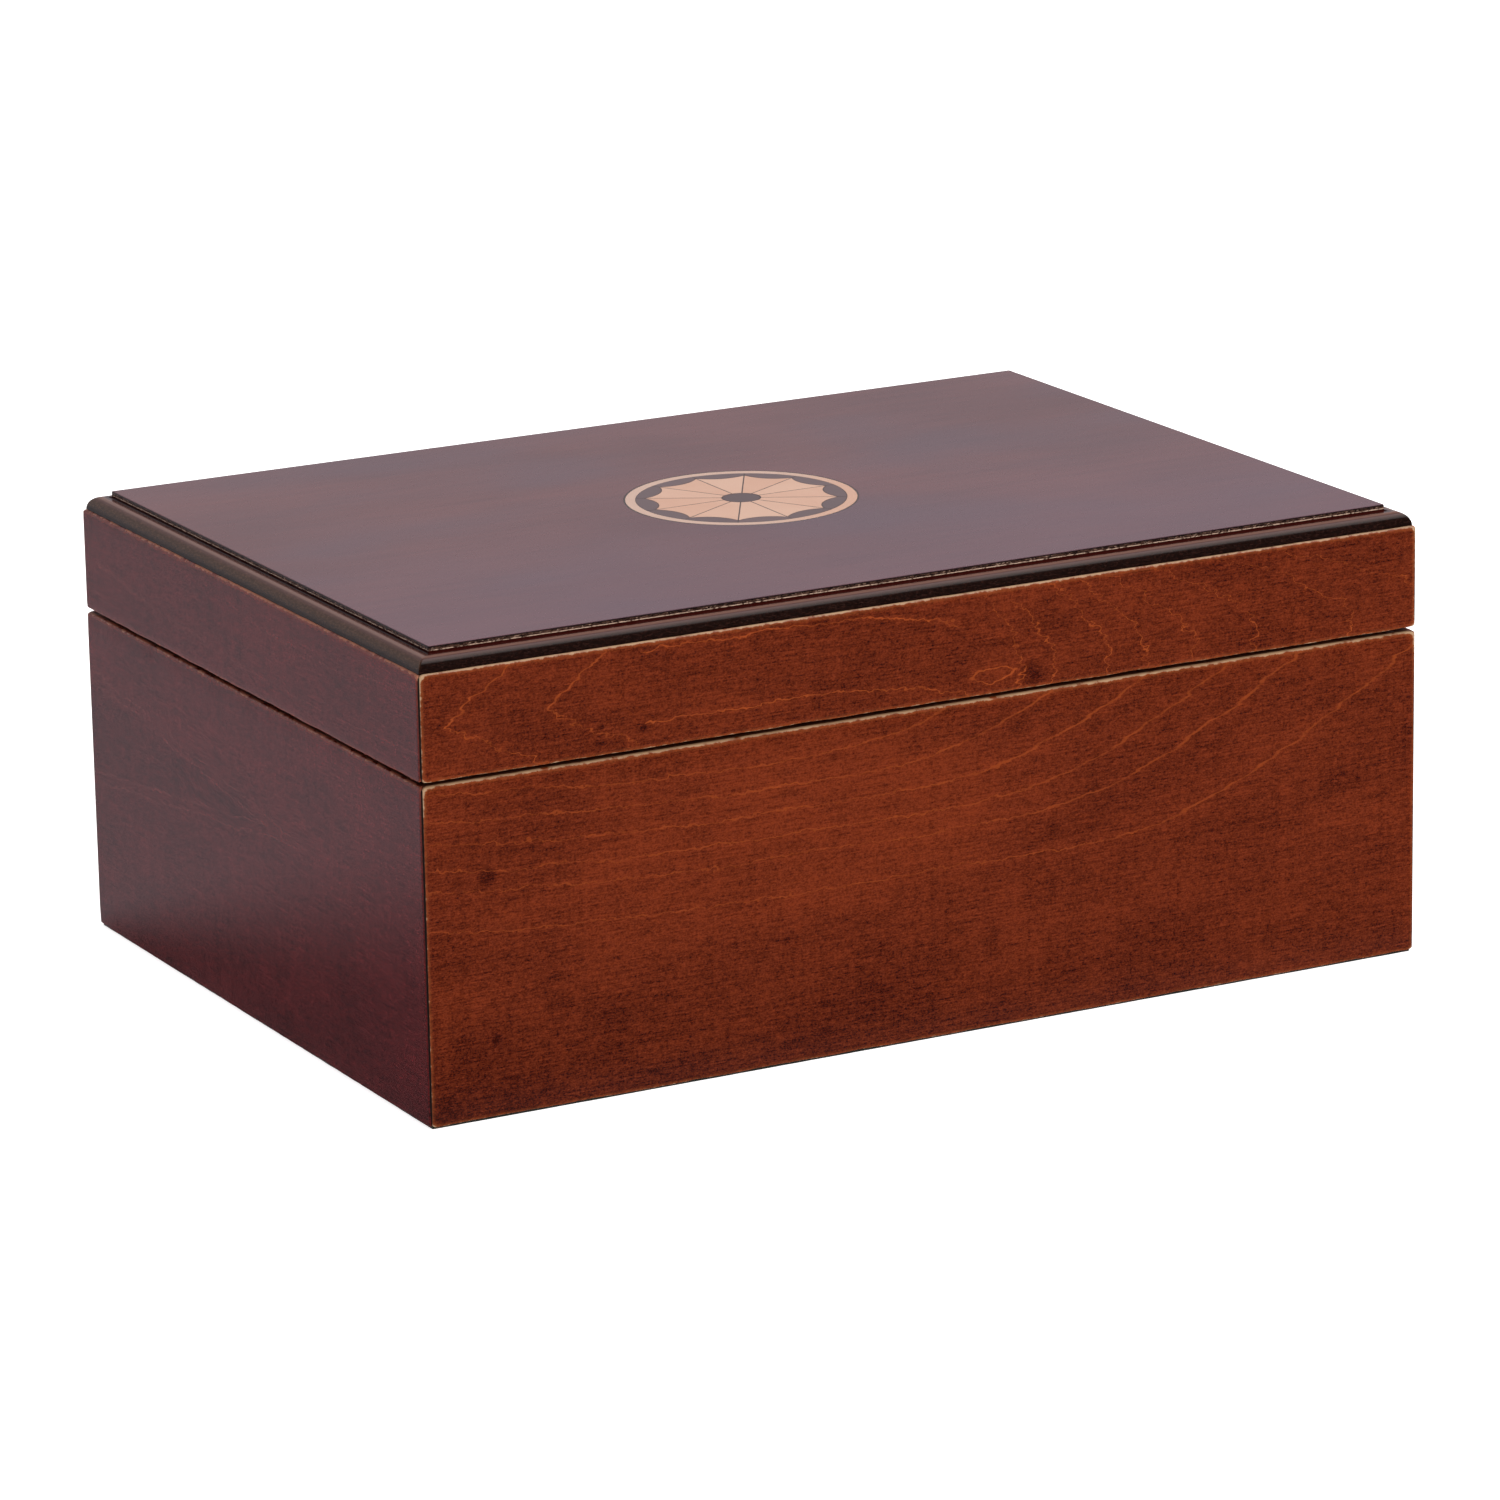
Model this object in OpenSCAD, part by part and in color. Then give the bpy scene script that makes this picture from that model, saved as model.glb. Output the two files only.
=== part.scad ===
// A lidded keepsake box. Four mitred walls stand on a rebated bottom board, four mitred rails
// carry a top panel with a routed edge, and a round fan inlay is let into the panel. The lid
// turns on two brass stop hinges at the back. Both halves are lined.
//
// The origin is at the bottom centre of the walls' footprint. +Z is up, the front faces -Y and
// +X is to the right. All sizes are in millimetres.

/* [Case] */
// Outside width, left to right
box_w = 300; // [200:1:420]
// Outside depth, front to back, without the hinges
box_d = 213.5; // [150:0.5:320]
// Height of the base walls
base_wall_h = 90.5; // [45:0.5:160]
// Height of the lid rails, below the top panel
lid_rail_h = 28.3; // [20:0.1:60]
// Thickness of the walls and rails
wall_t = 9.5; // [8:0.5:14]
// Even gap between the rim and the closed lid
lid_gap = 1; // [0.6:0.1:1.6]
// Radius of the upright corners
corner_r = 1.2; // [0.6:0.1:3]
// Radius of the outer edges of the base's rim
rim_arris_r = 0.8; // [0.3:0.1:1.5]
// Radius of the other outer edges of the walls and rails
arris_r = 0.5; // [0.2:0.1:1]
// Thickness of the bottom board
bottom_t = 5; // [3:0.5:8]
// Width of the rebate that the bottom board sits in
rebate_w = 5; // [3:0.5:6]
// Clearance round the bottom board
board_clear = 0.1; // [0:0.05:0.3]
// Thickness of the felt under the box
felt_t = 0.6; // [0.4:0.1:2]
// Distance from the box's outline to the felt's edge
felt_inset = 0.8; // [0.5:0.1:5]

/* [Lid moulding] */
// Height of the upright step round the top panel's field
step_h = 1.8; // [1:0.1:4]
// Radius of the quarter-round below the step
ovolo_r = 3.6; // [2:0.1:8]
// Width of the flat between the quarter-round and the step
quirk_flat = 1.9; // [1.2:0.1:4]
// Radius of the small groove at the foot of the step
quirk_r = 0.35; // [0.2:0.05:0.5]
// Radius of the lid rails' top edge, and how far the panel is set back from their faces
ledge_r = 0.9; // [0.4:0.1:2]
// Radius of the top panel's upper edge
field_arris_r = 0.3; // [0.1:0.1:0.8]
// Depth that the panel's tongue drops between the rails
tongue_h = 1.5; // [1:0.5:3]
// Clearance round the tongue
tongue_clear = 0.1; // [0:0.05:0.3]

/* [Inlay] */
// Outer radius of the light ring
ring_r = 31.75; // [20:0.25:60]
// Width of the light ring
ring_w = 2.75; // [1.5:0.25:5]
// Width of the dark line outside the ring
string_w = 0.5; // [0.3:0.1:1.5]
// Number of petals
petals = 12; // [8:1:12]
// Space between the ring and the points of the petals
point_gap = 2.6; // [1:0.1:6]
// Depth of each petal's hollow end
hollow_depth = 2.1; // [1:0.1:4]
// Radius of the centre disc
disc_r = 5.25; // [3:0.25:9]
// Width of the dark joints between the inlay's pieces
joint_w = 0.3; // [0.2:0.05:0.5]
// Thickness of the inlay's veneers
veneer_t = 0.8; // [0.6:0.1:1.2]
// Thickness of the backing that they are laid on
backing_t = 0.4; // [0.3:0.1:1]

/* [Lining] */
// Thickness of the lining boards on the walls
lining_t = 2; // [1:0.5:4]
// Distance from the rim down to the lining boards' edges
lining_drop = 1; // [0.5:0.5:5]
// Thickness of the padded floor and of the padded lid lining
pad_t = 4; // [2:0.5:8]
// Clearance round the pads
pad_clear = 0.3; // [0.1:0.1:1]

/* [Bumpers] */
// Radius of the bumpers on the rim
bumper_r = 2.5; // [1.5:0.5:3.5]
// Clearance between the bumpers and the closed lid
bumper_clear = 0.1; // [0.05:0.05:0.3]
// Distance from the box's ends to the bumpers' centres
bumper_inset = 14; // [12:1:40]

/* [Hinges] */
// Distance from the box's ends to the middle of each hinge
hinge_inset = 50; // [35:1:70]
// Length of a hinge
hinge_len = 38; // [34:1:50]
// Width of a leaf, from the back face forwards
leaf_w = 7.2; // [6.5:0.1:7.5]
// Thickness of a leaf
leaf_t = 1.2; // [1:0.1:1.6]
// Space between the two leaves when the lid is closed
leaf_gap = 0.2; // [0.1:0.05:0.4]
// Clearance round a leaf in its mortise
leaf_clear = 0.1; // [0.05:0.05:0.2]
// Outer radius of the knuckles
knuckle_r = 2.2; // [2:0.1:3]
// Length of the lid leaf's single knuckle
lid_knuckle_len = 18; // [14:1:20]
// Clearance between knuckles, along and around them
knuckle_clear = 0.2; // [0.1:0.05:0.4]
// Radius of the pin
pin_r = 1; // [0.8:0.1:1.2]
// Radial clearance of the pin in the lid leaf's knuckle
pin_clear = 0.04; // [0.02:0.01:0.08]
// Radius of the pin's heads
pin_head_r = 1.7; // [1.4:0.1:2]
// Height of the pin's heads
pin_head_h = 0.8; // [0.5:0.1:1.5]
// Angle at which the lid comes to its stop
open_angle = 95; // [85:1:110]
// Space between the knuckles and the stop bar
stop_clear = 0.5; // [0.3:0.1:1]
// Radius of the stop bar
stop_bar_r = 0.8; // [0.6:0.1:1]
// Thickness of the fin that meets the stop bar
fin_t = 1.6; // [1:0.1:2]
// Length of the fin along the pin
fin_len = 12; // [8:1:14]

/* [Screws] */
// Distance between a leaf's screws
screw_pitch = 12.5; // [11:0.5:15]
// Distance from the back face to the screws' line
screw_inset = 3.9; // [3.5:0.1:4.5]
// Radius of a screw's shank
shank_r = 1; // [0.8:0.1:1.2]
// Radius of a screw's countersunk head
screw_head_r = 1.9; // [1.6:0.1:2.1]
// Length of a screw, head included
screw_len = 9; // [6:0.5:12]
// Width of the slot in a screw's head
slot_w = 0.5; // [0.4:0.1:0.8]
// Depth of the slot in a screw's head
slot_depth = 0.4; // [0.3:0.1:0.6]

/* [Hidden] */
$fn = 96;
SIDES = ["front", "right", "back", "left"];
PINS = ["left", "right"];

// Heights of the levels, from the table up
wall_z = felt_t;
board_z = wall_z + bottom_t;
rim_z = wall_z + base_wall_h;
rail_z = rim_z + lid_gap;
panel_z = rail_z + lid_rail_h;
step_z = panel_z + ovolo_r;
top_z = step_z + step_h;
ceiling_z = panel_z - tongue_h;

// Plan sizes
field_inset = ledge_r + ovolo_r + quirk_flat;
inside_w = box_w - 2 * wall_t;
inside_d = box_d - 2 * wall_t;
lined_w = inside_w - 2 * lining_t;
lined_d = inside_d - 2 * lining_t;

// Hinge axis: at mid gap, with the knuckles just clear of the back faces
axis_y = box_d / 2 + knuckle_r + knuckle_clear;
axis_z = rim_z + lid_gap / 2;
leaf_far = leaf_gap / 2 + leaf_t;
// Directions of the stop bar and of the closed fin, from +Y towards +Z
stop_angle = -60;
stop_play = 2;
stop_r = knuckle_r + stop_clear + stop_bar_r;
fin_angle = stop_angle + open_angle + stop_play + asin((fin_t / 2 + stop_bar_r) / stop_r);
fin_end = stop_r + stop_bar_r;

// Inlay
sector = 360 / petals;
ring_in_r = ring_r - ring_w;
recess_r = ring_r + string_w;
veneer_z = top_z - veneer_t;
// Circle that cuts each hollow end: it passes through both of the petal's points
point_r = ring_in_r - point_gap;
half_chord = point_r * sin(sector / 2);
hollow_r = (pow(half_chord, 2) / hollow_depth + hollow_depth) / 2;
hollow_x = point_r * cos(sector / 2) + hollow_r - hollow_depth;

// Overshoot of a cut past the face it starts from
over = 1;

VENEER = [0.42, 0.16, 0.09];
PANEL = [0.30, 0.12, 0.10];
LIGHT = [0.83, 0.66, 0.53];
DARK = [0.24, 0.19, 0.18];
BRASS = [0.80, 0.62, 0.28];
VELVET = [0.16, 0.17, 0.15];
BOARD = [0.55, 0.40, 0.27];

// ---- Shared shapes ----

// A rectangle centred on the origin whose corners are true arcs
module round_rect(w, d, r) {
    square([w - 2 * r, d], center = true);
    square([w, d - 2 * r], center = true);
    for (x = [-1, 1], y = [-1, 1])
        translate([x * (w / 2 - r), y * (d / 2 - r)]) circle(r);
}

// Cross-section of a wall: x runs inwards from its outer face, y up, and the two outer edges are rounded
module wall_section(t, h, r_low, r_top) {
    translate([r_low, 0]) square([t - r_low, h - r_top]);
    translate([r_top, r_low]) square([t - r_top, h - r_low]);
    translate([0, r_low]) square([t, h - r_low - r_top]);
    translate([r_low, r_low]) circle(r_low);
    translate([r_top, h - r_top]) circle(r_top);
}

// Turns what is drawn for the front, with its outer face on y = 0, to stand on one of the four sides
module on_side(side) {
    turn = side == "front" ? 0 : side == "right" ? 90 : side == "back" ? 180 : 270;
    across = side == "front" || side == "back" ? box_d : box_w;
    rotate([0, 0, turn]) translate([0, -across / 2, 0]) children();
}

// Outside length of a side
function side_len(side) = side == "front" || side == "back" ? box_w : box_d;

// One wall of a mitred frame, from its cross-section
module mitred_wall(side, t, z, h, r_low, r_top) {
    half = side_len(side) / 2;
    intersection() {
        on_side(side) translate([-half, 0, z]) rotate([90, 0, 90])
            linear_extrude(2 * half) wall_section(t, h, r_low, r_top);
        on_side(side) translate([0, 0, z]) linear_extrude(h)
            polygon([[-half, 0], [half, 0], [half - t, t], [t - half, t]]);
        translate([0, 0, z]) linear_extrude(h) round_rect(box_w, box_d, corner_r);
    }
}

// ---- Case ----

module base_wall(side) {
    color(VENEER) difference() {
        mitred_wall(side, wall_t, wall_z, base_wall_h, arris_r, rim_arris_r);
        translate([0, 0, wall_z + bottom_t / 2 - over / 2])
            cube([inside_w + 2 * rebate_w, inside_d + 2 * rebate_w, bottom_t + over], center = true);
        if (side == "back") leaf_mortises(rim_z, axis_z - leaf_far);
        if (side == "back") screw_holes(-1);
    }
}

module base_bottom() {
    w = inside_w + 2 * rebate_w - 2 * board_clear;
    d = inside_d + 2 * rebate_w - 2 * board_clear;
    color(BOARD) translate([-w / 2, -d / 2, wall_z]) cube([w, d, bottom_t]);
}

module underside_felt() {
    color(VELVET) linear_extrude(felt_t)
        round_rect(box_w - 2 * felt_inset, box_d - 2 * felt_inset, corner_r);
}

module lid_rail(side) {
    color(VENEER) difference() {
        mitred_wall(side, wall_t, rail_z, lid_rail_h, arris_r, ledge_r);
        if (side == "back") leaf_mortises(rail_z, axis_z + leaf_far);
        if (side == "back") screw_holes(1);
    }
}

// The shape that a router leaves along both edges of a panel w wide: x across, y up from its underside
module panel_section(w) {
    field_h = ovolo_r + step_h;
    difference() {
        union() {
            intersection() {
                union() {
                    for (x = [-1, 1]) translate([x * (w / 2 - ledge_r - ovolo_r), 0]) circle(ovolo_r);
                    translate([-w / 2 + ledge_r + ovolo_r, 0])
                        square([w - 2 * ledge_r - 2 * ovolo_r, ovolo_r]);
                }
                translate([-w / 2, 0]) square([w, ovolo_r]);
            }
            translate([-w / 2 + field_inset, ovolo_r / 2])
                square([w - 2 * field_inset, field_h - field_arris_r - ovolo_r / 2]);
            translate([-w / 2 + field_inset + field_arris_r, ovolo_r / 2])
                square([w - 2 * field_inset - 2 * field_arris_r, field_h - ovolo_r / 2]);
            for (x = [-1, 1])
                translate([x * (w / 2 - field_inset - field_arris_r), field_h - field_arris_r])
                    circle(field_arris_r);
        }
        for (x = [-1, 1]) translate([x * (w / 2 - field_inset + quirk_r), ovolo_r]) circle(quirk_r);
    }
}

module lid_panel() {
    color(PANEL) difference() {
        union() {
            intersection() {
                translate([-box_w / 2, 0, panel_z]) rotate([90, 0, 90])
                    linear_extrude(box_w) panel_section(box_d);
                translate([0, box_d / 2, panel_z]) rotate([90, 0, 0])
                    linear_extrude(box_d) panel_section(box_w);
                translate([0, 0, panel_z]) linear_extrude(ovolo_r + step_h)
                    round_rect(box_w - 2 * ledge_r, box_d - 2 * ledge_r, corner_r);
            }
            translate([0, 0, panel_z - tongue_h / 2])
                cube([inside_w - 2 * tongue_clear, inside_d - 2 * tongue_clear, tongue_h], center = true);
        }
        translate([0, 0, veneer_z - backing_t]) cylinder(veneer_t + backing_t + over, r = recess_r);
    }
}

// ---- Inlay ----

module ring(r_out, r_in, z, h) {
    translate([0, 0, z]) difference() {
        cylinder(h, r = r_out);
        translate([0, 0, -over]) cylinder(h + 2 * over, r = r_in);
    }
}

module inlay_backing() {
    color(DARK) translate([0, 0, veneer_z - backing_t]) cylinder(backing_t, r = recess_r);
}

module inlay_stringing() {
    color(DARK) ring(recess_r, ring_r, veneer_z, veneer_t);
}

module inlay_ring() {
    color(LIGHT) ring(ring_r, ring_in_r, veneer_z, veneer_t);
}

module inlay_disc() {
    color(DARK) translate([0, 0, veneer_z]) cylinder(veneer_t, r = disc_r - joint_w / 2);
}

// Plan of one sector of the fan, drawn along +X, less half a joint on each side
module sector_plan() {
    apex = joint_w / 2 / sin(sector / 2);
    reach = ring_r;
    polygon([
        [apex, 0],
        [apex + reach * cos(sector / 2), -reach * sin(sector / 2)],
        [apex + reach * cos(sector / 2), reach * sin(sector / 2)]
    ]);
}

module petal(i) {
    color(LIGHT) translate([0, 0, veneer_z]) rotate([0, 0, (i - 0.5) * sector])
        linear_extrude(veneer_t) difference() {
            sector_plan();
            circle(disc_r + joint_w / 2);
            translate([hollow_x, 0]) circle(hollow_r + joint_w / 2);
        }
}

module tip(i) {
    color(DARK) translate([0, 0, veneer_z]) rotate([0, 0, (i - 0.5) * sector])
        linear_extrude(veneer_t) intersection() {
            sector_plan();
            circle(ring_in_r - joint_w / 2);
            translate([hollow_x, 0]) circle(hollow_r - joint_w / 2);
        }
}

// ---- Lining ----

// A lining board on one wall. Those at the sides stand between those at the front and back.
module lining(side, z, h) {
    long = side == "front" || side == "back";
    len = long ? inside_w : lined_d;
    color(VELVET) on_side(side) translate([-len / 2, wall_t, z]) cube([len, lining_t, h]);
}

module pad(z) {
    w = lined_w - 2 * pad_clear;
    d = lined_d - 2 * pad_clear;
    color(VELVET) translate([-w / 2, -d / 2, z]) cube([w, d, pad_t]);
}

module rim_bumpers() {
    h = lid_gap - bumper_clear;
    color("black") for (x = [-1, 1])
        translate([x * (box_w / 2 - bumper_inset), -box_d / 2 + wall_t / 2, rim_z]) cylinder(h, r = bumper_r);
}

// ---- Hinges ----

module at_hinge(place) {
    x = box_w / 2 - hinge_inset;
    translate([place == "left" ? -x : x, 0, 0]) children();
}

// A rod along X, centred on x = 0 of the hinge, at a place given from the hinge's axis
module rod(r, len, y = 0, z = 0) {
    translate([-len / 2, axis_y + y, axis_z + z]) rotate([0, 90, 0]) cylinder(len, r = r);
}

// The plate of a leaf. side is -1 for the base's leaf and 1 for the lid's.
module leaf_plate(side) {
    z = axis_z + (side > 0 ? leaf_gap / 2 : -leaf_far);
    translate([-hinge_len / 2, box_d / 2 - leaf_w, z])
        cube([hinge_len, leaf_w + knuckle_r, leaf_t]);
}

// Clears the other leaf's knuckles out of a plate
module knuckle_space(x, len) {
    r = knuckle_r + knuckle_clear;
    translate([x - len / 2, axis_y - r, axis_z - r]) cube([len, 3 * r, 2 * r]);
}

module hinge_base_leaf(place) {
    side_knuckle = (hinge_len - lid_knuckle_len) / 2 - knuckle_clear;
    color(BRASS) at_hinge(place) difference() {
        union() {
            difference() {
                leaf_plate(-1);
                knuckle_space(0, lid_knuckle_len + 2 * knuckle_clear);
            }
            difference() {
                rod(knuckle_r, hinge_len);
                knuckle_space(0, lid_knuckle_len + 2 * knuckle_clear);
            }
            rod(stop_bar_r, hinge_len, stop_r * cos(stop_angle), stop_r * sin(stop_angle));
            for (x = [-1, 1]) translate([x * (hinge_len - side_knuckle) / 2, axis_y, axis_z])
                rotate([stop_angle, 0, 0]) translate([-side_knuckle / 2, pin_r, -stop_bar_r])
                    cube([side_knuckle, stop_r - pin_r, 2 * stop_bar_r]);
        }
        rod(pin_r, hinge_len + 2 * over);
        leaf_countersinks(-1);
    }
}

module hinge_lid_leaf(place) {
    space = (hinge_len - lid_knuckle_len) / 2 + over;
    color(BRASS) at_hinge(place) difference() {
        union() {
            difference() {
                leaf_plate(1);
                for (x = [-1, 1]) knuckle_space(x * (lid_knuckle_len + space) / 2, space);
            }
            rod(knuckle_r, lid_knuckle_len);
            translate([0, axis_y, axis_z]) rotate([fin_angle, 0, 0])
                translate([-fin_len / 2, pin_r, -fin_t / 2]) cube([fin_len, fin_end - pin_r, fin_t]);
        }
        rod(pin_r + pin_clear, hinge_len + 2 * over);
        leaf_countersinks(1);
    }
}

module hinge_pin(place) {
    color(BRASS) at_hinge(place) {
        rod(pin_r, hinge_len);
        for (x = [-1, 1]) translate([x * (hinge_len + pin_head_h) / 2, 0, 0]) rod(pin_head_r, pin_head_h);
    }
}

// Mortises for both hinges' leaves, from the wood's surface at z_open to the leaves' back at z_floor
module leaf_mortises(z_open, z_floor) {
    side = z_open > z_floor ? 1 : -1;
    low = min(z_floor, z_open + side * over);
    high = max(z_floor, z_open + side * over);
    for (p = PINS) at_hinge(p)
        translate([-hinge_len / 2 - leaf_clear, box_d / 2 - leaf_w - leaf_clear, low])
            cube([hinge_len + 2 * leaf_clear, leaf_w + leaf_clear + over, high - low]);
}

// One screw, head up, with the top of its head on z = 0
module screw_body() {
    head_h = screw_head_r - shank_r;
    translate([0, 0, -head_h]) cylinder(head_h, r1 = shank_r, r2 = screw_head_r);
    translate([0, 0, -screw_len]) cylinder(screw_len - head_h, r = shank_r);
}

// Places a child at each screw of a hinge, its head towards the gap between the leaves
module at_leaf_screws(side) {
    for (i = [-1:1])
        translate([i * screw_pitch, box_d / 2 - screw_inset, axis_z + side * leaf_gap / 2])
            rotate([side > 0 ? 180 : 0, 0, 0]) children();
}

module leaf_countersinks(side) {
    at_leaf_screws(side) screw_body();
}

module screw_holes(side) {
    for (p = PINS) at_hinge(p) at_leaf_screws(side) screw_body();
}

module hinge_screws(side) {
    color(BRASS) for (p = PINS) at_hinge(p) at_leaf_screws(side) difference() {
        screw_body();
        translate([0, 0, over / 2 - slot_depth])
            cube([2 * screw_head_r + over, slot_w, over], center = true);
    }
}

// ---- Assembly ----

for (s = SIDES) {
    base_wall(s);
    lining(s, board_z, rim_z - lining_drop - board_z);
    lid_rail(s);
    lining(s, rail_z + lining_drop, ceiling_z - rail_z - lining_drop);
}
base_bottom();
underside_felt();
pad(board_z);  // floor_pad
rim_bumpers();
lid_panel();
pad(ceiling_z - pad_t);  // lid_pad
inlay_backing();
inlay_stringing();
inlay_ring();
inlay_disc();
for (i = [1:petals]) {
    petal(i);
    tip(i);
}
for (p = PINS) {
    hinge_base_leaf(p);
    hinge_lid_leaf(p);
    hinge_pin(p);
}
hinge_screws(-1);  // base_hinge_screws
hinge_screws(1);  // lid_hinge_screws
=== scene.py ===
import math
import bmesh
import bpy
from functools import partialmethod
from mathutils import Matrix, Vector, noise


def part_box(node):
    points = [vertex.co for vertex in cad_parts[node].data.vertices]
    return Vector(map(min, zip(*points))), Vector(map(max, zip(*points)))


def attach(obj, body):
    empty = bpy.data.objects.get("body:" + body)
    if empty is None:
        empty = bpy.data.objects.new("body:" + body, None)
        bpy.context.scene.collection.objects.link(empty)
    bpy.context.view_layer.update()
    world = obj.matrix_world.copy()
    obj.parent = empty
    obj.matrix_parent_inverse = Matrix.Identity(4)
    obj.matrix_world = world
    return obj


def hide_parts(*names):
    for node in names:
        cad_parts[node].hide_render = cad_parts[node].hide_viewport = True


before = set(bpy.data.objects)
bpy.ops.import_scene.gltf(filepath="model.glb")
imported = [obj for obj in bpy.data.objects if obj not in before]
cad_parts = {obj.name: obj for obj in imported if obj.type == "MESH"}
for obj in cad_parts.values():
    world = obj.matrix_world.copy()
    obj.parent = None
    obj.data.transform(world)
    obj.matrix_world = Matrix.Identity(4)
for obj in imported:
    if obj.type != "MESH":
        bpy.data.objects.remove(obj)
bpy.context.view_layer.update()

# ---- The viewpoint ----
# A long lens on the left of the box and a little above it, which keeps the box's edges nearly
# parallel. The whole box fills the width of the picture.


def new_object(name, data):
    """An object in the scene that holds a mesh, a lamp or a camera."""
    made = bpy.data.objects.new(name, data)
    bpy.context.scene.collection.objects.link(made)
    return made


camera_data = bpy.data.cameras.new("camera")
camera_data.lens = 171.20
camera_data.sensor_width = 36.0
camera_turn, camera_tilt, camera_roll = [math.radians(a) for a in (-28.072, 15.423, -1.001)]
camera_back = Vector((
    math.sin(camera_turn) * math.cos(camera_tilt),
    -math.cos(camera_turn) * math.cos(camera_tilt),
    math.sin(camera_tilt),
))
level_right = camera_back.cross(Vector((0, 0, -1))).normalized()
level_up = camera_back.cross(level_right)
camera_right = level_right * math.cos(camera_roll) + level_up * math.sin(camera_roll)
camera_up = level_up * math.cos(camera_roll) - level_right * math.sin(camera_roll)
camera = new_object("camera", camera_data)
camera.matrix_world = (
    Matrix.Translation((-0.89201, -1.67506, 0.57774))
    @ Matrix((camera_right, camera_up, camera_back)).transposed().to_4x4()
)
bpy.context.scene.camera = camera

# ---- The case walls and the lid's rails ----
# Eight lengths of wood, mitred at the corners: four tall walls and four rails for the lid. Each is
# veneered on its face, stained red-brown and lacquered, and the lacquer is rubbed through to the
# pale wood along every edge that a hand or a cloth meets.
SIDES = {"front": 0, "right": 90, "back": 180, "left": 270}
MM = 0.001
CORNER_RADIUS = 1.2 * MM
RIM_ARRIS = 0.8 * MM
LEDGE_ARRIS = 0.9 * MM
FOOT_ARRIS = 0.5 * MM
INNER_ARRIS = 0.25 * MM
FACE_CORNER = 2.2 * MM
RUB_WIDTH = 1.6 * MM
RUB_DEPTH = 0.22 * MM
COLUMN = 0.8 * MM
BOARD_ROOM = 0.1 * MM
MORTISE_ROOM = 0.1 * MM
MORTISE_DEPTHS = {"base": 1.1 * MM, "lid": 0.9 * MM}

front_low, front_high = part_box("base_front")
rail_low, rail_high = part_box("lid_front")
board_low, board_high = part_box("base_bottom")
WIDTH = 2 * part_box("base_right")[1].x
DEPTH = 2 * abs(front_low.y)
WALL = front_high.y - front_low.y
LENGTHS = {"front": WIDTH, "right": DEPTH, "back": WIDTH, "left": DEPTH}
REACHES = {"front": DEPTH / 2, "right": WIDTH / 2, "back": DEPTH / 2, "left": WIDTH / 2}


def arc(centre, radius, start, end, steps=6):
    """Points on an arc, from one angle to another in degrees."""
    angles = [math.radians(start + (end - start) * i / steps) for i in range(steps + 1)]
    return [(centre[0] + radius * math.cos(a), centre[1] + radius * math.sin(a)) for a in angles]


def between(low, high, count):
    """Evenly spaced values strictly between two ends."""
    return [low + (high - low) * (i + 1) / (count + 1) for i in range(count)]


def wall_section(foot, top, top_arris, rebate):
    """A wall's outline as (inset, height), from the foot of its face up and round."""
    fine = INNER_ARRIS
    points = arc((FOOT_ARRIS, foot + FOOT_ARRIS), FOOT_ARRIS, 270, 180)
    points += [(0, z) for z in between(foot + FOOT_ARRIS, top - top_arris, 16)]
    points += arc((top_arris, top - top_arris), top_arris, 180, 90)
    points += [(t, top) for t in between(top_arris, WALL - fine, 5)]
    points += arc((WALL - fine, top - fine), fine, 90, 0, 3)
    width, height = rebate
    points += arc((WALL - fine, foot + height + fine), fine, 0, -90, 3)
    if width:
        points += [(WALL - width, foot + height), (WALL - width, foot)]
    return points


def side_run(length, inset, radius, least=0):
    """One side of a rounded outline at an inset, from mitre to mitre, as (along, inwards)."""
    bend = max(radius - inset, least)
    centre = inset + bend
    half = length / 2 - centre
    count = round(length / COLUMN)
    run = arc((-half, centre), bend, 225, 270)
    run += [(-half + 2 * half * i / count, inset) for i in range(1, count)]
    run += arc((half, centre), bend, 270, 315)
    return run


def turned(side, along, inwards):
    """The plan position of a point that is given from the middle of one side's face."""
    turn = math.radians(SIDES[side])
    across = inwards - REACHES[side]
    cos, sin = math.cos(turn), math.sin(turn)
    return along * cos - across * sin, along * sin + across * cos


def rounded_face(along, height, length, foot, top, corner):
    """Draws a point in, so that the face's outline has round corners."""
    half, middle, half_height = length / 2, (foot + top) / 2, (top - foot) / 2
    past_end = abs(along) - (half - corner)
    past_edge = abs(height - middle) - (half_height - corner)
    reach = math.hypot(past_end, past_edge)
    if past_end <= 0 or past_edge <= 0 or reach <= corner:
        return along, height
    pull = corner / reach
    new_along = half - corner + past_end * pull
    new_height = half_height - corner + past_edge * pull
    return math.copysign(new_along, along), middle + math.copysign(new_height, height - middle)


def rubbed(along, inset, height, foot, top, seed):
    """Wears the face's long edges back by an uneven amount."""
    for edge, way in ((top, -1), (foot, 1)):
        close = max(0, 1 - (abs(height - edge) + inset) / RUB_WIDTH)
        broad = noise.noise(Vector((along / (11 * MM), seed, edge / MM)))
        small = noise.noise(Vector((along / (1.7 * MM), seed + 9, edge / MM)))
        wear = RUB_DEPTH * close * max(0, 0.35 + broad + 0.35 * small)
        inset += wear
        height += way * wear
    return inset, height


def grid_faces(rows, columns, closed_rows=False, closed_columns=True):
    """Quads over rows of points, closed round in either direction or in both."""
    faces = []
    for row in range(rows if closed_rows else rows - 1):
        below, above = row * columns, (row + 1) % rows * columns
        for i in range(columns if closed_columns else columns - 1):
            after = (i + 1) % columns
            faces.append((below + i, below + after, above + after, above + i))
    return faces


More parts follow.
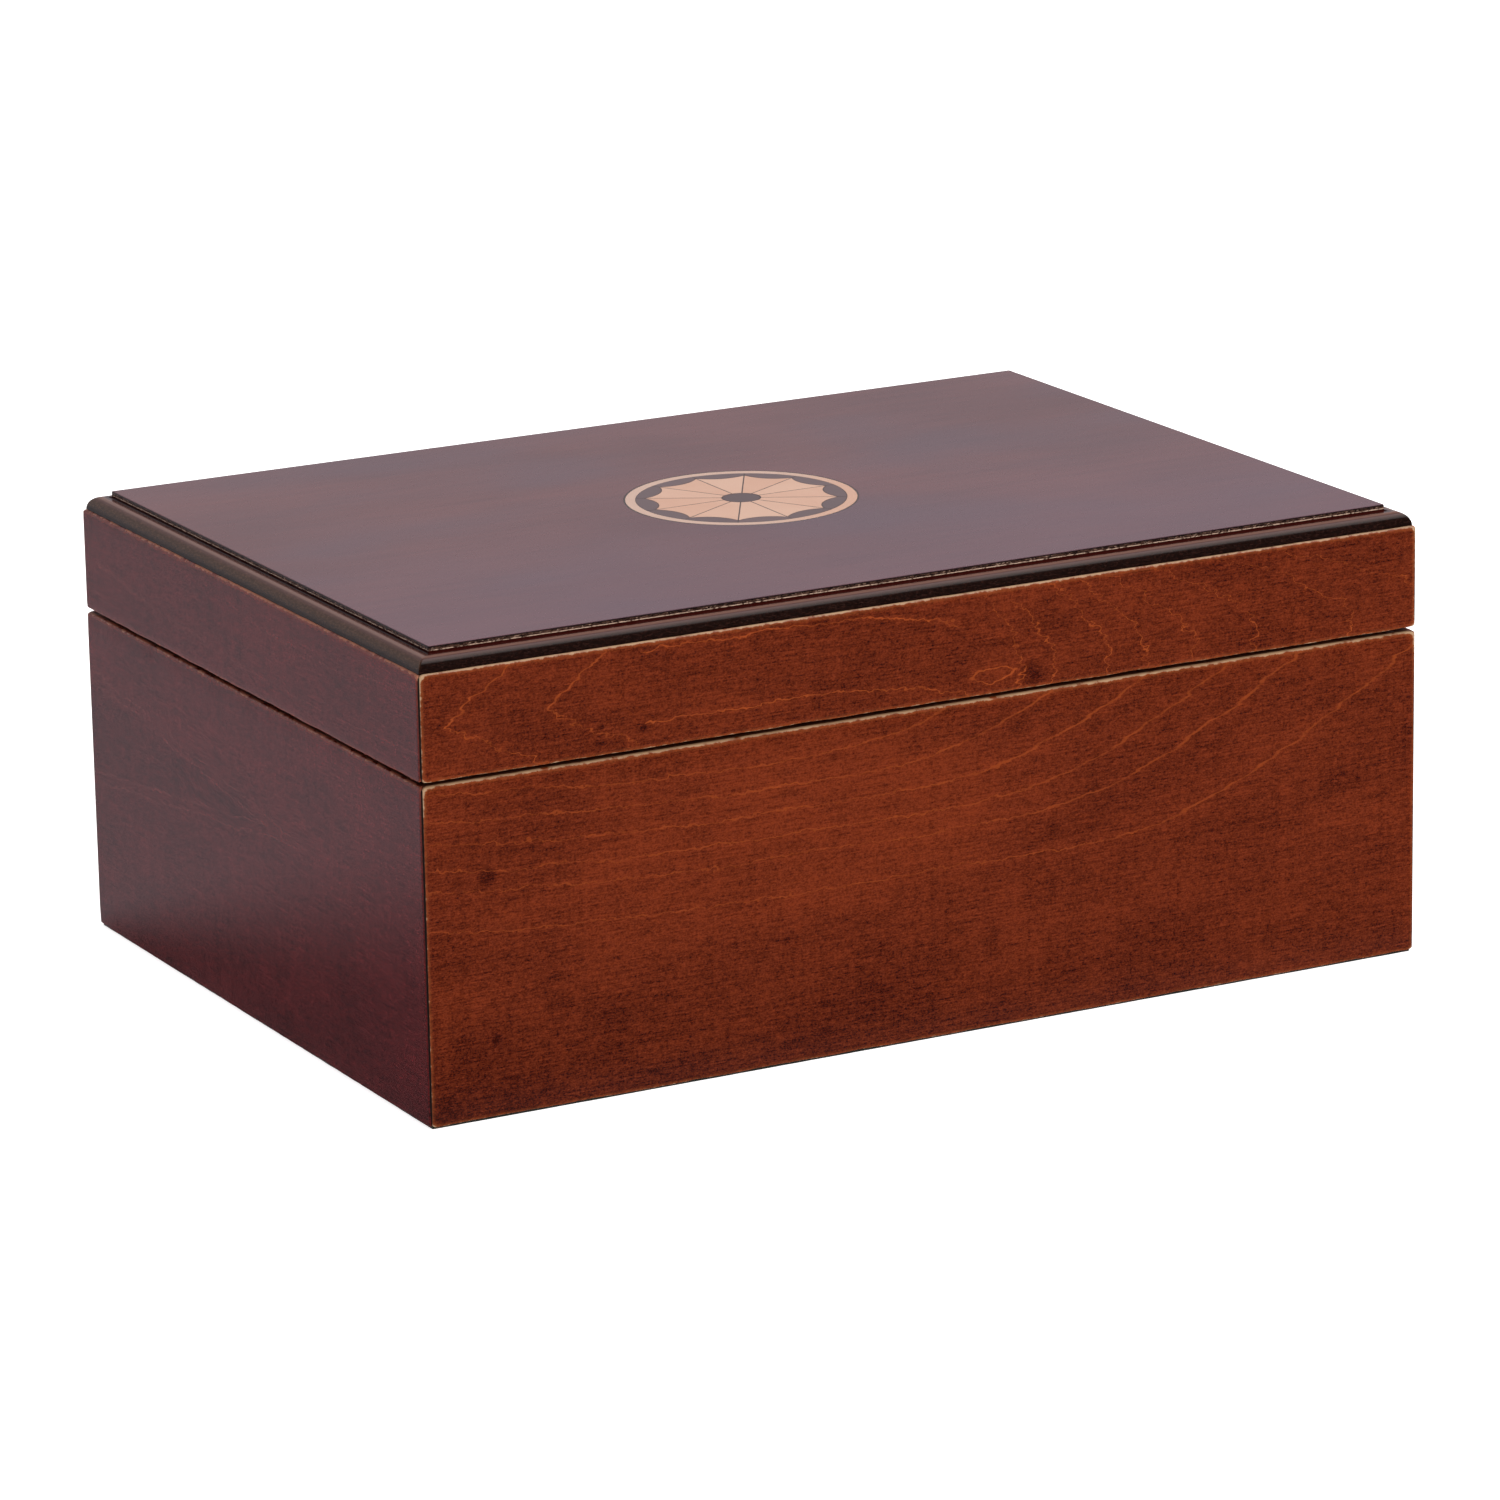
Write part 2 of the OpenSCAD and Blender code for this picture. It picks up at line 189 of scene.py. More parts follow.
def shape_object(name, shape, sharp_angle=None):
    """An object made of a bmesh. With an angle, it is smooth but for edges sharper than that."""
    if sharp_angle:
        for face in shape.faces:
            face.smooth = True
        for edge in shape.edges:
            edge.smooth = len(edge.link_faces) == 2 and edge.calc_face_angle() < math.radians(sharp_angle)
    mesh = bpy.data.meshes.new(name)
    shape.to_mesh(mesh)
    shape.free()
    return new_object(name, mesh)


def solid_mesh(name, points, faces, sharp_angle=35):
    """A closed solid that faces outwards, from its points and faces."""
    loose = bpy.data.meshes.new("loose")
    loose.from_pydata(points, [], faces)
    shape = bmesh.new()
    shape.from_mesh(loose)
    bpy.data.meshes.remove(loose)
    bmesh.ops.remove_doubles(shape, verts=shape.verts, dist=1e-6)
    bmesh.ops.dissolve_degenerate(shape, edges=shape.edges, dist=1e-7)
    bmesh.ops.recalc_face_normals(shape, faces=shape.faces)
    return shape_object(name, shape, sharp_angle)


def mitred_wall(name, side, section, foot, top, seed):
    """Sweeps a wall's section from mitre to mitre and closes both ends."""
    runs = [side_run(LENGTHS[side], inset, CORNER_RADIUS) for inset, height in section]
    rows, columns = len(runs), len(runs[0])
    points = []
    for (inset, height), run in zip(section, runs):
        for along, inwards in run:
            shift, level = rubbed(along, inset, height, foot, top, seed)
            inwards += shift - inset
            along, level = rounded_face(along, level, LENGTHS[side], foot, top, FACE_CORNER)
            points.append((*turned(side, along, inwards), level))
    faces = grid_faces(rows, columns, True, False)
    faces.append([row * columns for row in range(rows)])
    faces.append([row * columns + columns - 1 for row in range(rows)])
    return solid_mesh(name, points, faces)


def settle(piece):
    """Applies a piece's modifiers, so that a plain mesh is left."""
    graph = bpy.context.evaluated_depsgraph_get()
    mesh = bpy.data.meshes.new_from_object(piece.evaluated_get(graph))
    piece.modifiers.clear()
    piece.data = mesh


def cut_box(piece, low, high):
    """Cuts a box out of a piece."""
    shape = bmesh.new()
    bmesh.ops.create_cube(shape, size=1)
    for v in shape.verts:
        v.co = Vector([low[k] if v.co[k] < 0 else high[k] for k in range(3)])
    block = shape_object("cutter", shape)
    cut = piece.modifiers.new("cut", "BOOLEAN")
    cut.operation, cut.object, cut.solver = "DIFFERENCE", block, "EXACT"
    settle(piece)
    bpy.data.objects.remove(block)


def cut_mortises(wall, body):
    """Cuts the hinge leaves' mortises out of a back wall or rail."""
    over = 3 * MM
    foot, top = front_high.z - MORTISE_DEPTHS["base"], front_high.z + over
    if body == "lid":
        foot, top = rail_low.z - over, rail_low.z + MORTISE_DEPTHS["lid"]
    for hand in ("left", "right"):
        low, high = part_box(f"hinge_{hand}_{body}_leaf")
        near = (low.x - MORTISE_ROOM, low.y - MORTISE_ROOM, foot)
        cut_box(wall, near, (high.x + MORTISE_ROOM, high.y + over, top))


class Link:
    """A socket in a node tree. Sums, products and the like of links add Math nodes."""

    def __init__(self, tree, socket=None):
        self.tree = tree
        self.socket = socket

    def node(self, kind, inputs=None, output=0, **settings):
        """Adds a node: its settings first, then the values or links of its inputs."""
        made = self.tree.nodes.new(kind)
        for name, value in settings.items():
            setattr(made, name, value)
        for key, value in (inputs or {}).items():
            socket = made.inputs[key]
            if isinstance(value, Link):
                self.tree.links.new(value.socket, socket)
            else:
                socket.default_value = (*value, 1) if socket.type == "RGBA" else value
        return Link(self.tree, made.outputs[output] if len(made.outputs) else None)

    def calc(self, operation, *others, swapped=False):
        """A Math node on this link and others, or on others and this link."""
        operands = (*others, self) if swapped else (self, *others)
        return self.node("ShaderNodeMath", dict(enumerate(operands)), operation=operation)

    __add__ = __radd__ = partialmethod(calc, "ADD")
    __mul__ = __rmul__ = partialmethod(calc, "MULTIPLY")
    __sub__ = partialmethod(calc, "SUBTRACT")
    __rsub__ = partialmethod(calc, "SUBTRACT", swapped=True)
    __truediv__ = partialmethod(calc, "DIVIDE")
    __rtruediv__ = partialmethod(calc, "DIVIDE", swapped=True)
    __pow__ = partialmethod(calc, "POWER")
    __abs__ = partialmethod(calc, "ABSOLUTE")
    most = partialmethod(calc, "MAXIMUM")
    least = partialmethod(calc, "MINIMUM")

    def smooth(self, start, end):
        """0 at start and 1 at end, eased. start may be the larger."""
        ends = {"Value": self, "From Min": start, "From Max": end}
        return self.node("ShaderNodeMapRange", ends, interpolation_type="SMOOTHSTEP")

    def mix(self, low, high):
        """From the colour low to the colour high, by this link as the share."""
        return self.node("ShaderNodeMix", {0: self, 6: low, 7: high}, 2, data_type="RGBA")

    def scaled(self, x, y, z):
        """This vector with each part multiplied."""
        return self.node("ShaderNodeVectorMath", {0: self, 1: (x, y, z)}, operation="MULTIPLY")

    def moved(self, by):
        """This vector with another one added."""
        return self.node("ShaderNodeVectorMath", {0: self, 1: by}, operation="ADD")

    def vector(self, *parts):
        """A vector of two or three numbers."""
        return self.node("ShaderNodeCombineXYZ", dict(enumerate(parts)))

    def parts(self):
        """This vector's three numbers."""
        split = self.node("ShaderNodeSeparateXYZ", {0: self})
        return [Link(self.tree, number) for number in split.socket.node.outputs]

    def spot(self):
        """The place on the object, in millimetres."""
        return self.node("ShaderNodeTexCoord", output=3).scaled(1000, 1000, 1000)

    def bumped(self, depth):
        """This relief, of a depth, as a shader's Normal."""
        return self.node("ShaderNodeBump", {"Height": self, "Strength": 1.0, "Distance": depth})

    def grain(self, size, detail=2.0, roughness=0.55, seed=0.0):
        """Noise from about 0 to 1 on this vector, with blotches of a size along each axis."""
        spot = self.scaled(*[1 / s for s in size])
        if seed:
            spot = spot.moved((seed,) * 3)
        inputs = {"Vector": spot, "Scale": 1.0, "Detail": detail, "Roughness": roughness}
        return self.node("ShaderNodeTexNoise", inputs)


def paint(name):
    """A new material and a first link in its tree."""
    material = bpy.data.materials.new(name)
    material.use_nodes = True
    material.node_tree.nodes.clear()
    return material, Link(material.node_tree)


def finish_paint(start, colour, roughness, relief=None, depth=0.05 * MM, **fixed):
    """Ends a material's tree in a Principled shader. Fixed values are set on its own sockets."""
    inputs = {"Base Color": colour, "Roughness": roughness}
    if relief:
        inputs["Normal"] = relief.bumped(depth)
    inputs.update({name.replace("_", " "): value for name, value in fixed.items()})
    shader = start.node("ShaderNodeBsdfPrincipled", inputs)
    start.node("ShaderNodeOutputMaterial", {"Surface": shader})


def spot_on(start, side):
    """Millimetres along a side, in from its face and up, and the three as one vector."""
    x, y, z = start.spot().parts()
    turn = math.radians(SIDES[side])
    cos, sin = round(math.cos(turn)), round(math.sin(turn))
    along = x * cos if cos else y * sin
    inwards = (y * cos if cos else x * -sin) + REACHES[side] / MM
    return along, inwards, z, start.vector(along, inwards, z)


def nearest(ring, lines, rate=1):
    """Distance in millimetres from the nearest line, where lines lie at values of a ring."""
    distance = abs(ring - lines[0])
    for line in lines[1:]:
        distance = distance.least(abs(ring - line))
    return distance / rate


def outside(value, low, high):
    """How far a value lies outside a range."""
    return (low - value).most(0) + (value - high).most(0)


SEAM_DARK = (0.006, 0.003, 0.002)
RIM_DARK = (0.045, 0.012, 0.006)
RIM_LIGHT = (0.085, 0.024, 0.011)


def face_edge(along, height, length, foot, top, corner):
    """Distance from the rounded outline of a side's face: below zero inside it."""
    past_end = abs(along) - (length / 2 - corner)
    past_edge = abs(height - (foot + top) / 2) - ((top - foot) / 2 - corner)
    end, edge = past_end.most(0), past_edge.most(0)
    return (end * end + edge * edge) ** 0.5 + past_end.most(past_edge).least(0) - corner


def veneer(node, side, foot, top, seed):
    """Stained, lacquered veneer with its own figure and its own rubbed edges."""
    figure, strength, shade = FIGURES[node]
    dark, bright, line = TINTS[side]
    worn = WEAR[node]
    material, start = paint(f"veneer_{node}")
    along, inwards, height, spot = spot_on(start, side)
    ripple = spot.grain((26, 26, 9), 3, 0.6, seed) - 0.5
    jitter = spot.grain((3.2, 9, 2.4), 2, 0.6, seed + 3) - 0.5
    zigzag = spot.grain((30, 20, 3.6), 2, 0.6, seed + 4) - 0.5
    distance = figure(along + ripple * 8 + jitter * 4.8 + zigzag * 11, height + ripple * 4 + jitter * 2.8)
    patchy = spot.grain((14, 20, 6), 3, 0.6, seed + 5).smooth(0.40, 0.60)
    lines = distance.smooth(0.26, 0.04) * 0.66 + distance.smooth(1.4, 0.2) * 0.06
    lines = lines * (patchy * 0.55 + 0.45)
    mottle = spot.grain((42, 30, 16), 3, 0.55, seed + 7)
    blotch = spot.grain((4.6, 6, 2.6), 2, 0.6, seed + 9)
    speckle = spot.grain((1.5, 4, 0.85), 3, 0.7, seed + 11)
    fine = spot.grain((0.62, 1, 0.42), 2, 0.7, seed + 12)
    fibres = spot.grain((13, 8, 0.5), 3, 0.65, seed + 13)
    ripples = spot.grain((2.6, 30, 46), 1, 0.5, seed + 17)
    pores = spot.grain((1.9, 5, 0.26), 2, 0.55, seed + 19).smooth(0.60, 0.72)
    tone = mottle * 0.8 + blotch * 0.8 + speckle * 2.0 + fine * 2.2 + fibres * 1.5 + ripples * 0.3 - 3.3
    # Adds each wall's lighter and darker parts: knots, a darker flame, and on the front of the base painted
    # light and shade.
    if shade:
        tone = tone + shade(along, height)
    colour = tone.smooth(-0.35, 1.35).mix(dark, bright)
    colour = (pores * 0.22).mix(colour, (dark[0] * 0.8, dark[1] * 0.6, dark[2] * 0.6))
    colour = (lines * strength).mix(colour, line)
    length = LENGTHS[side] / MM
    edge = face_edge(along, height, length - 2 * worn["ends"], foot / MM, top / MM, FACE_CORNER / MM)
    chatter = spot.grain((2.2, 2.2, 1.6), 3, 0.65, seed + 23) - 0.5
    wide = height.smooth(*worn["heights"]) * (worn["high"] - worn["low"]) + worn["low"]
    rub = edge + wide + chatter * 1.5
    colour = (rub.smooth(-1.5, 0.1) ** 2 * worn["glow"]).mix(colour, worn["orange"])
    gaps = spot.grain((7, 7, 7), 3, 0.6, seed + 29).smooth(worn["gaps"], worn["gaps"] + 0.12)
    bare = rub.smooth(-0.12, 0.22) * gaps
    colour = bare.mix(colour, worn["tan"])
    past_mitre = length / 2 - abs(along) + chatter * 0.12
    seam = past_mitre.smooth(worn["seam"] + 0.06, worn["seam"] - 0.06)
    colour = seam.mix(colour, SEAM_DARK)
    inner = inwards.smooth(0.9, 1.5)
    colour = inner.mix(colour, tone.smooth(0.0, 1.0).mix(RIM_DARK, RIM_LIGHT))
    roughness = 0.12 + speckle * 0.10 + bare * 0.35 + seam * 0.3 + inner * 0.25
    relief = fibres * 0.3 + speckle * 0.3 + fine * 0.25 - pores * 0.3 - bare * 0.5 - seam * 0.6
    finish_paint(start, colour, roughness, relief, 0.035 * MM, IOR=1.5)
    return material


def front_lid_figure(along, height):
    """Points that open to the right, a level line between, and arcs with their tips to the right."""
    x = along + REACHES["left"] / MM
    above, below = (height - 106).most(0), (106 - height).most(0)
    points = nearest(x - above * 1.3 - below * 2.1, (7, 36), 2.2) + outside(x, 0, 62)
    level = nearest(height + (x - 118).most(0) ** 2 * 0.0035, (99, 118.2), 1) + outside(x, 64, 160)
    lean = (height - 97) / 20
    bow = ((x - 165).most(0) * 0.33 + 9) * lean * lean
    arcs = nearest(x + bow, (176, 186, 203, 214, 229, 250, 279, 306), 1.15)
    loop_x, loop_z = (x - 167) / 5.5, (height - 97.5) / 2.1
    loop = nearest((loop_x * loop_x + loop_z * loop_z) ** 0.5, (1,), 0.5)
    return points.least(level).least(arcs + outside(x, 165, 320)).least(loop)


def front_base_figure(along, height):
    """Long lines, sagging at the left and sweeping up to the right."""
    x = along + REACHES["left"] / MM
    sweep = (x + height * 2.2 - 292).most(0) * 0.27
    rise = (sweep * sweep + 225) ** 0.5 - 15
    sag = (100 - x).most(0)
    return nearest(height - rise - sag * sag * 0.0006, (83.2, 76.4, 69.6, 63.0, 57.2, 46.5), 1.05)


def flame(along, height):
    """How far out from a long flame's heart a point lies. The flame runs in from the back edge."""
    length, spread, level, fall = 117, 13.5, 59, 0.012
    x = along + REACHES["front"] / MM
    return x / length + abs(height - level + x * fall) / spread


def side_base_figure(along, height):
    """The flame's outline and a second line round it."""
    return nearest(flame(along, height), (1.0, 1.22), 1 / 12.6)


def nested(centre, level, long, tall, lines):
    """A figure of flames nested round one point."""
    def figure(along, height):
        x = (along - centre) / long
        z = (height - level) / tall
        ring = (x * x + z * z + 0.001) ** 0.5
        x_rate, z_rate = x / long, z / tall
        rate = (x_rate * x_rate + z_rate * z_rate + 1e-7) ** 0.5 / ring
        return nearest(ring, lines) / rate
    return figure


def bowls(centre, level, lines):
    """A figure of long sagging lines."""
    def figure(along, height):
        away = along - centre
        return nearest((height - level) / (away * away * 7.5e-5 + 1), lines)
    return figure


def soft_spots(along, height, spots):
    """Soft round knots, each given as its place and its size."""
    total = None
    for x, z, size in spots:
        away_x, away_z = (along - x) / size, (height - z) / size
        knot = (away_x * away_x + away_z * away_z).smooth(1.6, 0.1)
        total = total + knot if total else knot
    return total


def front_base_painted_light_and_knots(along, height):
    """Painted light brighter at the upper left, painted shade darker at the foot and most of all at its left,
    and two darker knots.
    """
    x, z = (along + 42) / 82, (height - 64) / 34
    # Painted light at the upper left, and painted shade along the foot.
    bright = (x * x + z * z).smooth(1.0, 0.0) * 0.28
    foot = height.smooth(34, 2) * (along.smooth(160, -160) * 0.24 + 0.06)
    return bright - foot - soft_spots(along, height, ((-132, 65, 2.6), (-130.5, 21.5, 1.5))) * 0.5


def front_lid_shade(along, height):
    """Two pin knots at the left and a larger, softer one right of the middle."""
    return soft_spots(along, height, ((-98.5, 99.6, 0.9), (-86.5, 97.4, 1.3), (29, 96.5, 3.6))) * -0.5


def side_base_shade(along, height):
    """Darker inside the flame."""
    return flame(along, height).smooth(1.1, 0.85) * -0.14


# Dark, bright and line tints of each side's stain. The left wall's are darker and cooler than the front's:
# painted shade, a shaded copy of the same stain. The right wall's lie between the two.
PLAIN_TINTS = ((0.030, 0.0022, 0.0004), (0.176, 0.0248, 0.0054), (0.29, 0.050, 0.008))
LEFT_SHADED_TINTS = ((0.022, 0.0018, 0.0022), (0.130, 0.0110, 0.0124), (0.170, 0.030, 0.025))
RIGHT_TINTS = ((0.026, 0.0020, 0.0010), (0.146, 0.0165, 0.0085), (0.22, 0.038, 0.016))
TINTS = {"front": PLAIN_TINTS, "back": PLAIN_TINTS, "left": LEFT_SHADED_TINTS, "right": RIGHT_TINTS}

# Where the lacquer is rubbed through: more on the long sides, whose ends show pale wood too.
LONG_WEAR = {"tan": (0.40, 0.245, 0.135), "orange": (0.26, 0.062, 0.014),
             "glow": 0.55, "seam": 0.62, "ends": 0.48}
SIDE_WEAR = {"tan": (0.40, 0.15, 0.085), "orange": (0.24, 0.045, 0.02), "seam": 0.50, "ends": 0}
BASE_WEAR = {**LONG_WEAR, "heights": (78, 90), "low": 0.05, "high": 0.46, "gaps": 0.34}
LID_WEAR = {**LONG_WEAR, "heights": (95, 119), "low": 0.14, "high": 0.36, "gaps": 0.32}
SIDE_BASE_WEAR = {**SIDE_WEAR, "glow": 0.5, "heights": (60, 90), "low": -0.45, "high": 0.35, "gaps": 0.40}
SIDE_LID_WEAR = {**SIDE_WEAR, "glow": 0.6, "heights": (95, 119), "low": 0.05, "high": 0.35, "gaps": 0.38}
WEAR = {
    "base_front": BASE_WEAR, "base_back": BASE_WEAR, "lid_front": LID_WEAR, "lid_back": LID_WEAR,
    "base_left": SIDE_BASE_WEAR, "base_right": SIDE_BASE_WEAR,
    "lid_left": SIDE_LID_WEAR, "lid_right": SIDE_LID_WEAR,
}

# Each wall's figure, how strong its lines are, and its lighter and darker parts; on the front of the base
# these are painted light and shade besides two knots.
FIGURES = {
    "base_front": (front_base_figure, 0.78, front_base_painted_light_and_knots),
    "lid_front": (front_lid_figure, 1.25, front_lid_shade),
    "base_left": (side_base_figure, 0.7, side_base_shade),
    "lid_left": (bowls(40, 92, (6, 19)), 0.5, None),
    "base_back": (nested(30, 44, 96, 15, (0.6, 1.0, 1.5, 1.9, 2.7)), 0.8, None),
    "lid_back": (bowls(60, 88, (5, 12, 19)), 0.8, None),
    "base_right": (nested(60, 50, 90, 17, (0.5, 0.9, 1.45, 2.0)), 0.7, None),
    "lid_right": (nested(-30, 106, 90, 10, (0.6, 1.2, 1.9)), 0.7, None),
}


def coat(piece, material):
    """Gives a piece its one material."""
    piece.data.materials.clear()
    piece.data.materials.append(material)


def place(piece, body, slot, material, *nodes):
    """Gives a piece its finish, its body and the parts that it stands for."""
    coat(piece, material)
    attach(piece, body)
    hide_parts(*nodes)


rebate = (board_high.x - (WIDTH / 2 - WALL) + BOARD_ROOM, board_high.z - board_low.z)
LEVELS = {
    "base": (front_low.z, front_high.z, RIM_ARRIS, rebate),
    "lid": (rail_low.z, rail_high.z, LEDGE_ARRIS, (0, 0)),
}
for number, side in enumerate(SIDES):
    for body, (foot, top, top_arris, cut_out) in LEVELS.items():
        node = f"{body}_{side}"
        section = wall_section(foot, top, top_arris, cut_out)
        wall = mitred_wall(f"{body}_wall_{side}", side, section, foot, top, number * 7 + len(body))
        if side == "back":
            cut_mortises(wall, body)
        finish = veneer(node, side, foot, top, number * 31.0 + len(body))
        place(wall, body, "case_veneer", finish, node)

# ---- The lid's panel ----
# One board glued on the four rails, with a tongue that drops between them. A router has left a
# quarter-round, a small groove and an upright step round its field, stained nearly black. The
# field is let out in the middle for the round inlay.
OVOLO_RADIUS = 3.6 * MM
QUIRK_RADIUS = 0.35 * MM
OVOLO_TOP = LEDGE_ARRIS + OVOLO_RADIUS
STEP_HEIGHT = 1.8 * MM
FIELD_INSET = 6.4 * MM
FIELD_ARRIS = 0.3 * MM
PANEL_CORNER = 0.35 * MM
TONGUE_ROOM = 0.1 * MM
CHATTER_DEPTH = 0.10 * MM
FIELD_RINGS = (0.003, 0.25, 0.5, 0.75, 1.0)

panel_low, panel_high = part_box("lid_panel")
backing_low, backing_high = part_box("inlay_backing")
step_foot = panel_high.z - STEP_HEIGHT
recess_radius = backing_high.x


def panel_section():
    """The routed edge as (inset, height), from under the rails' tops up to the field."""
    points = [(WALL + TONGUE_ROOM, panel_low.z), (WALL + TONGUE_ROOM, rail_high.z)]
    points += [(t, rail_high.z) for t in between(WALL, LEDGE_ARRIS, 4)]
    points += arc((OVOLO_TOP, rail_high.z), OVOLO_RADIUS, 180, 90, 18)
    flat_end = FIELD_INSET - 2 * QUIRK_RADIUS
    points += [(t, step_foot) for t in between(OVOLO_TOP, flat_end, 2)]
    points += arc((FIELD_INSET - QUIRK_RADIUS, step_foot), QUIRK_RADIUS, 180, 360, 8)
    points += [(FIELD_INSET, z) for z in between(step_foot, panel_high.z - FIELD_ARRIS, 5)]
    points += arc((FIELD_INSET + FIELD_ARRIS, panel_high.z - FIELD_ARRIS), FIELD_ARRIS, 180, 90, 4)
    return points


def outline_at(inset):
    """A whole rounded outline at an inset, as plan points."""
    loop = []
    for side in SIDES:
        run = side_run(LENGTHS[side], inset, CORNER_RADIUS, PANEL_CORNER)
        loop += [turned(side, along, inwards) for along, inwards in run[:-1]]
    return loop


def rough_step(x, y, height):
    """The router's chatter on the upright step, as a distance to draw in."""
    on_step = max(0, 1 - abs(height - step_foot - STEP_HEIGHT / 2) / (STEP_HEIGHT * 0.75))
    tear = noise.noise(Vector((x / (1.9 * MM), y / (1.9 * MM), height / (0.5 * MM))))
    return CHATTER_DEPTH * on_step * max(0, 0.3 + tear)


def lid_panel():
    """The routed edge swept round, the field drawn in to the recess, and the recess's wall and floor."""
    section = panel_section()
    loops = [outline_at(inset) for inset, height in section]
    points = []
    for (inset, height), loop in zip(section, loops):
        for x, y in loop:
            draw = rough_step(x, y, height) if height > step_foot else 0
            points.append((x * (1 - draw / (WIDTH / 2)), y * (1 - draw / (DEPTH / 2)), height))
    rings = [(share, panel_high.z) for share in FIELD_RINGS] + [(1, backing_low.z)]
    for share, height in rings:
        for x, y in loops[-1]:
            keep = 1 - share + share * recess_radius / math.hypot(x, y)
            points.append((x * keep, y * keep, height))
    columns = len(loops[0])
    faces = grid_faces(len(section) + len(rings), columns)
    faces.append(list(range(len(points) - columns, len(points))))
    faces.append(list(range(columns)))
    return solid_mesh("lid_panel_board", points, faces)


def panel_finish():
    """A dull dark stain in the routed edge, with torn fibres on its step, a painted highlight high on its
    quarter-round and painted shade in its groove, and a lacquered field with a painted sheen towards the
    front.
    """
    material, start = paint("panel_stain")
    spot = start.spot()
    x, y, z = spot.parts()
    cloudy = spot.grain((70, 46, 46), 2, 0.5, 4)
    cool = spot.grain((90, 60, 60), 2, 0.5, 14)
    fibres = spot.grain((40, 0.7, 3), 3, 0.65, 8)
    bands = spot.grain((34, 3.4, 6), 3, 0.6, 11)
    speckle = spot.grain((2.2, 1.2, 1.2), 3, 0.7, 9)
    pores = spot.grain((3.2, 0.2, 2), 1, 0.5, 10).smooth(0.68, 0.76)
    tone = cloudy * 0.9 + bands * 0.6 + fibres * 0.35 + speckle * 0.06 - 0.45
    field = tone.smooth(0, 1).mix((0.088, 0.020, 0.024), (0.165, 0.047, 0.046))
    field = (cool.smooth(0.42, 0.72) * 0.6).mix(field, (0.092, 0.044, 0.064))
    # Painted sheen: the field turns paler and more mauve towards its front edge.
    field = (y.smooth(40, -100) * 0.35).mix(field, (0.125, 0.066, 0.105))
    field = (pores * 0.4).mix(field, (0.05, 0.014, 0.016))
    inset = (WIDTH / 2 / MM - abs(x)).least(DEPTH / 2 / MM - abs(y))
    level = z - step_foot / MM
    torn = spot.grain((1.3, 1.3, 0.4), 3, 0.75, 21)
    fleck = spot.grain((1.1, 1.1, 0.5), 2, 0.7, 22)
    crown = STEP_HEIGHT / MM
    on_field = level.smooth(crown - 0.08, crown - 0.02)
    on_step = level.smooth(0.45, 0.62) * inset.smooth(5.6, 6.0) * (1 - on_field)
    colour = torn.smooth(0.42, 0.7).mix((0.006, 0.0022, 0.0016), (0.020, 0.0070, 0.0048))
    # The routed edge is lighter and browner at the panel's two ends, from partway up the quarter-round.
    ends = (abs(x) - abs(y) - (WIDTH - DEPTH) / 2 / MM).smooth(-0.4, 0.4)
    ends_tone = torn.smooth(0.42, 0.7).mix((0.055, 0.026, 0.014), (0.105, 0.052, 0.030))
    colour = (ends * level.smooth(-3.4, -1.2)).mix(colour, ends_tone)
    # Painted highlight along the upper part of the quarter-round.
    painted_ridge_highlight = level.smooth(-1.1, -0.1) * (inset - 4.9).smooth(0.2, 0.0)
    colour = (painted_ridge_highlight * 0.6).mix(colour, (0.13, 0.058, 0.054))
    # Painted shade, dark red, in the groove, on the flat beside it and up the foot of the step.
    groove = inset.smooth(4.9, 5.2) * level.smooth(0.75, 0.45)
    colour = groove.mix(colour, (0.040, 0.0045, 0.003))
    streaks = (torn - level * 0.06).smooth(0.36, 0.52)
    step = streaks.mix((0.012, 0.005, 0.004), (0.085, 0.040, 0.026))
    step = level.smooth(1.40, 1.58).mix(step, (0.010, 0.004, 0.005))
    step = (fleck.smooth(0.58, 0.66) * level.smooth(1.5, 1.2)).mix(step, (0.30, 0.19, 0.14))
    colour = on_step.mix(colour, step)
    uneven = level + torn * 0.1
    crest = uneven.smooth(0.56, 0.64) * uneven.smooth(0.88, 0.78) * on_step
    colour = (crest * fleck.smooth(0.36, 0.52)).mix(colour, (0.66, 0.46, 0.34))
    rim = (inset + (torn - 0.5) * 0.4 + (level + 0.1) * 2).smooth(5.0, 4.6) * level.smooth(-0.30, -0.12)
    colour = (rim * 0.7).mix(colour, (0.22, 0.115, 0.085))
    roughness = speckle * 0.05 + 0.15
    relief = fibres * 0.14 + bands * 0.3 + speckle * 0.05 - pores * 0.15 + on_step * torn * 1.5
    normal = relief.bumped(0.03 * MM)
    routed = start.node("ShaderNodeBsdfPrincipled", {
        "Base Color": colour, "Roughness": roughness + on_step * 0.08, "Normal": normal,
        "Specular IOR Level": 0.26})
    lacquered = start.node("ShaderNodeBsdfPrincipled", {
        "Base Color": field, "Roughness": roughness + 0.09, "Normal": normal})
    whole = start.node("ShaderNodeMixShader", {0: on_field, 1: routed, 2: lacquered})
    start.node("ShaderNodeOutputMaterial", {"Surface": whole})
    return material


place(lid_panel(), "lid", "lid_panel_wood", panel_finish(), "lid_panel")

# ---- The round inlay ----
# A stock marquetry round, laid on one backing: a pale ring between dark lines, and a fan of pale
# petals with hollow ends, dark tips beyond them and a dark disc in the middle. Brown glue fills the
# joints, and the whole was sanded level with the panel.
JOINT = 0.36 * MM
GLUE_DROP = 0.01 * MM

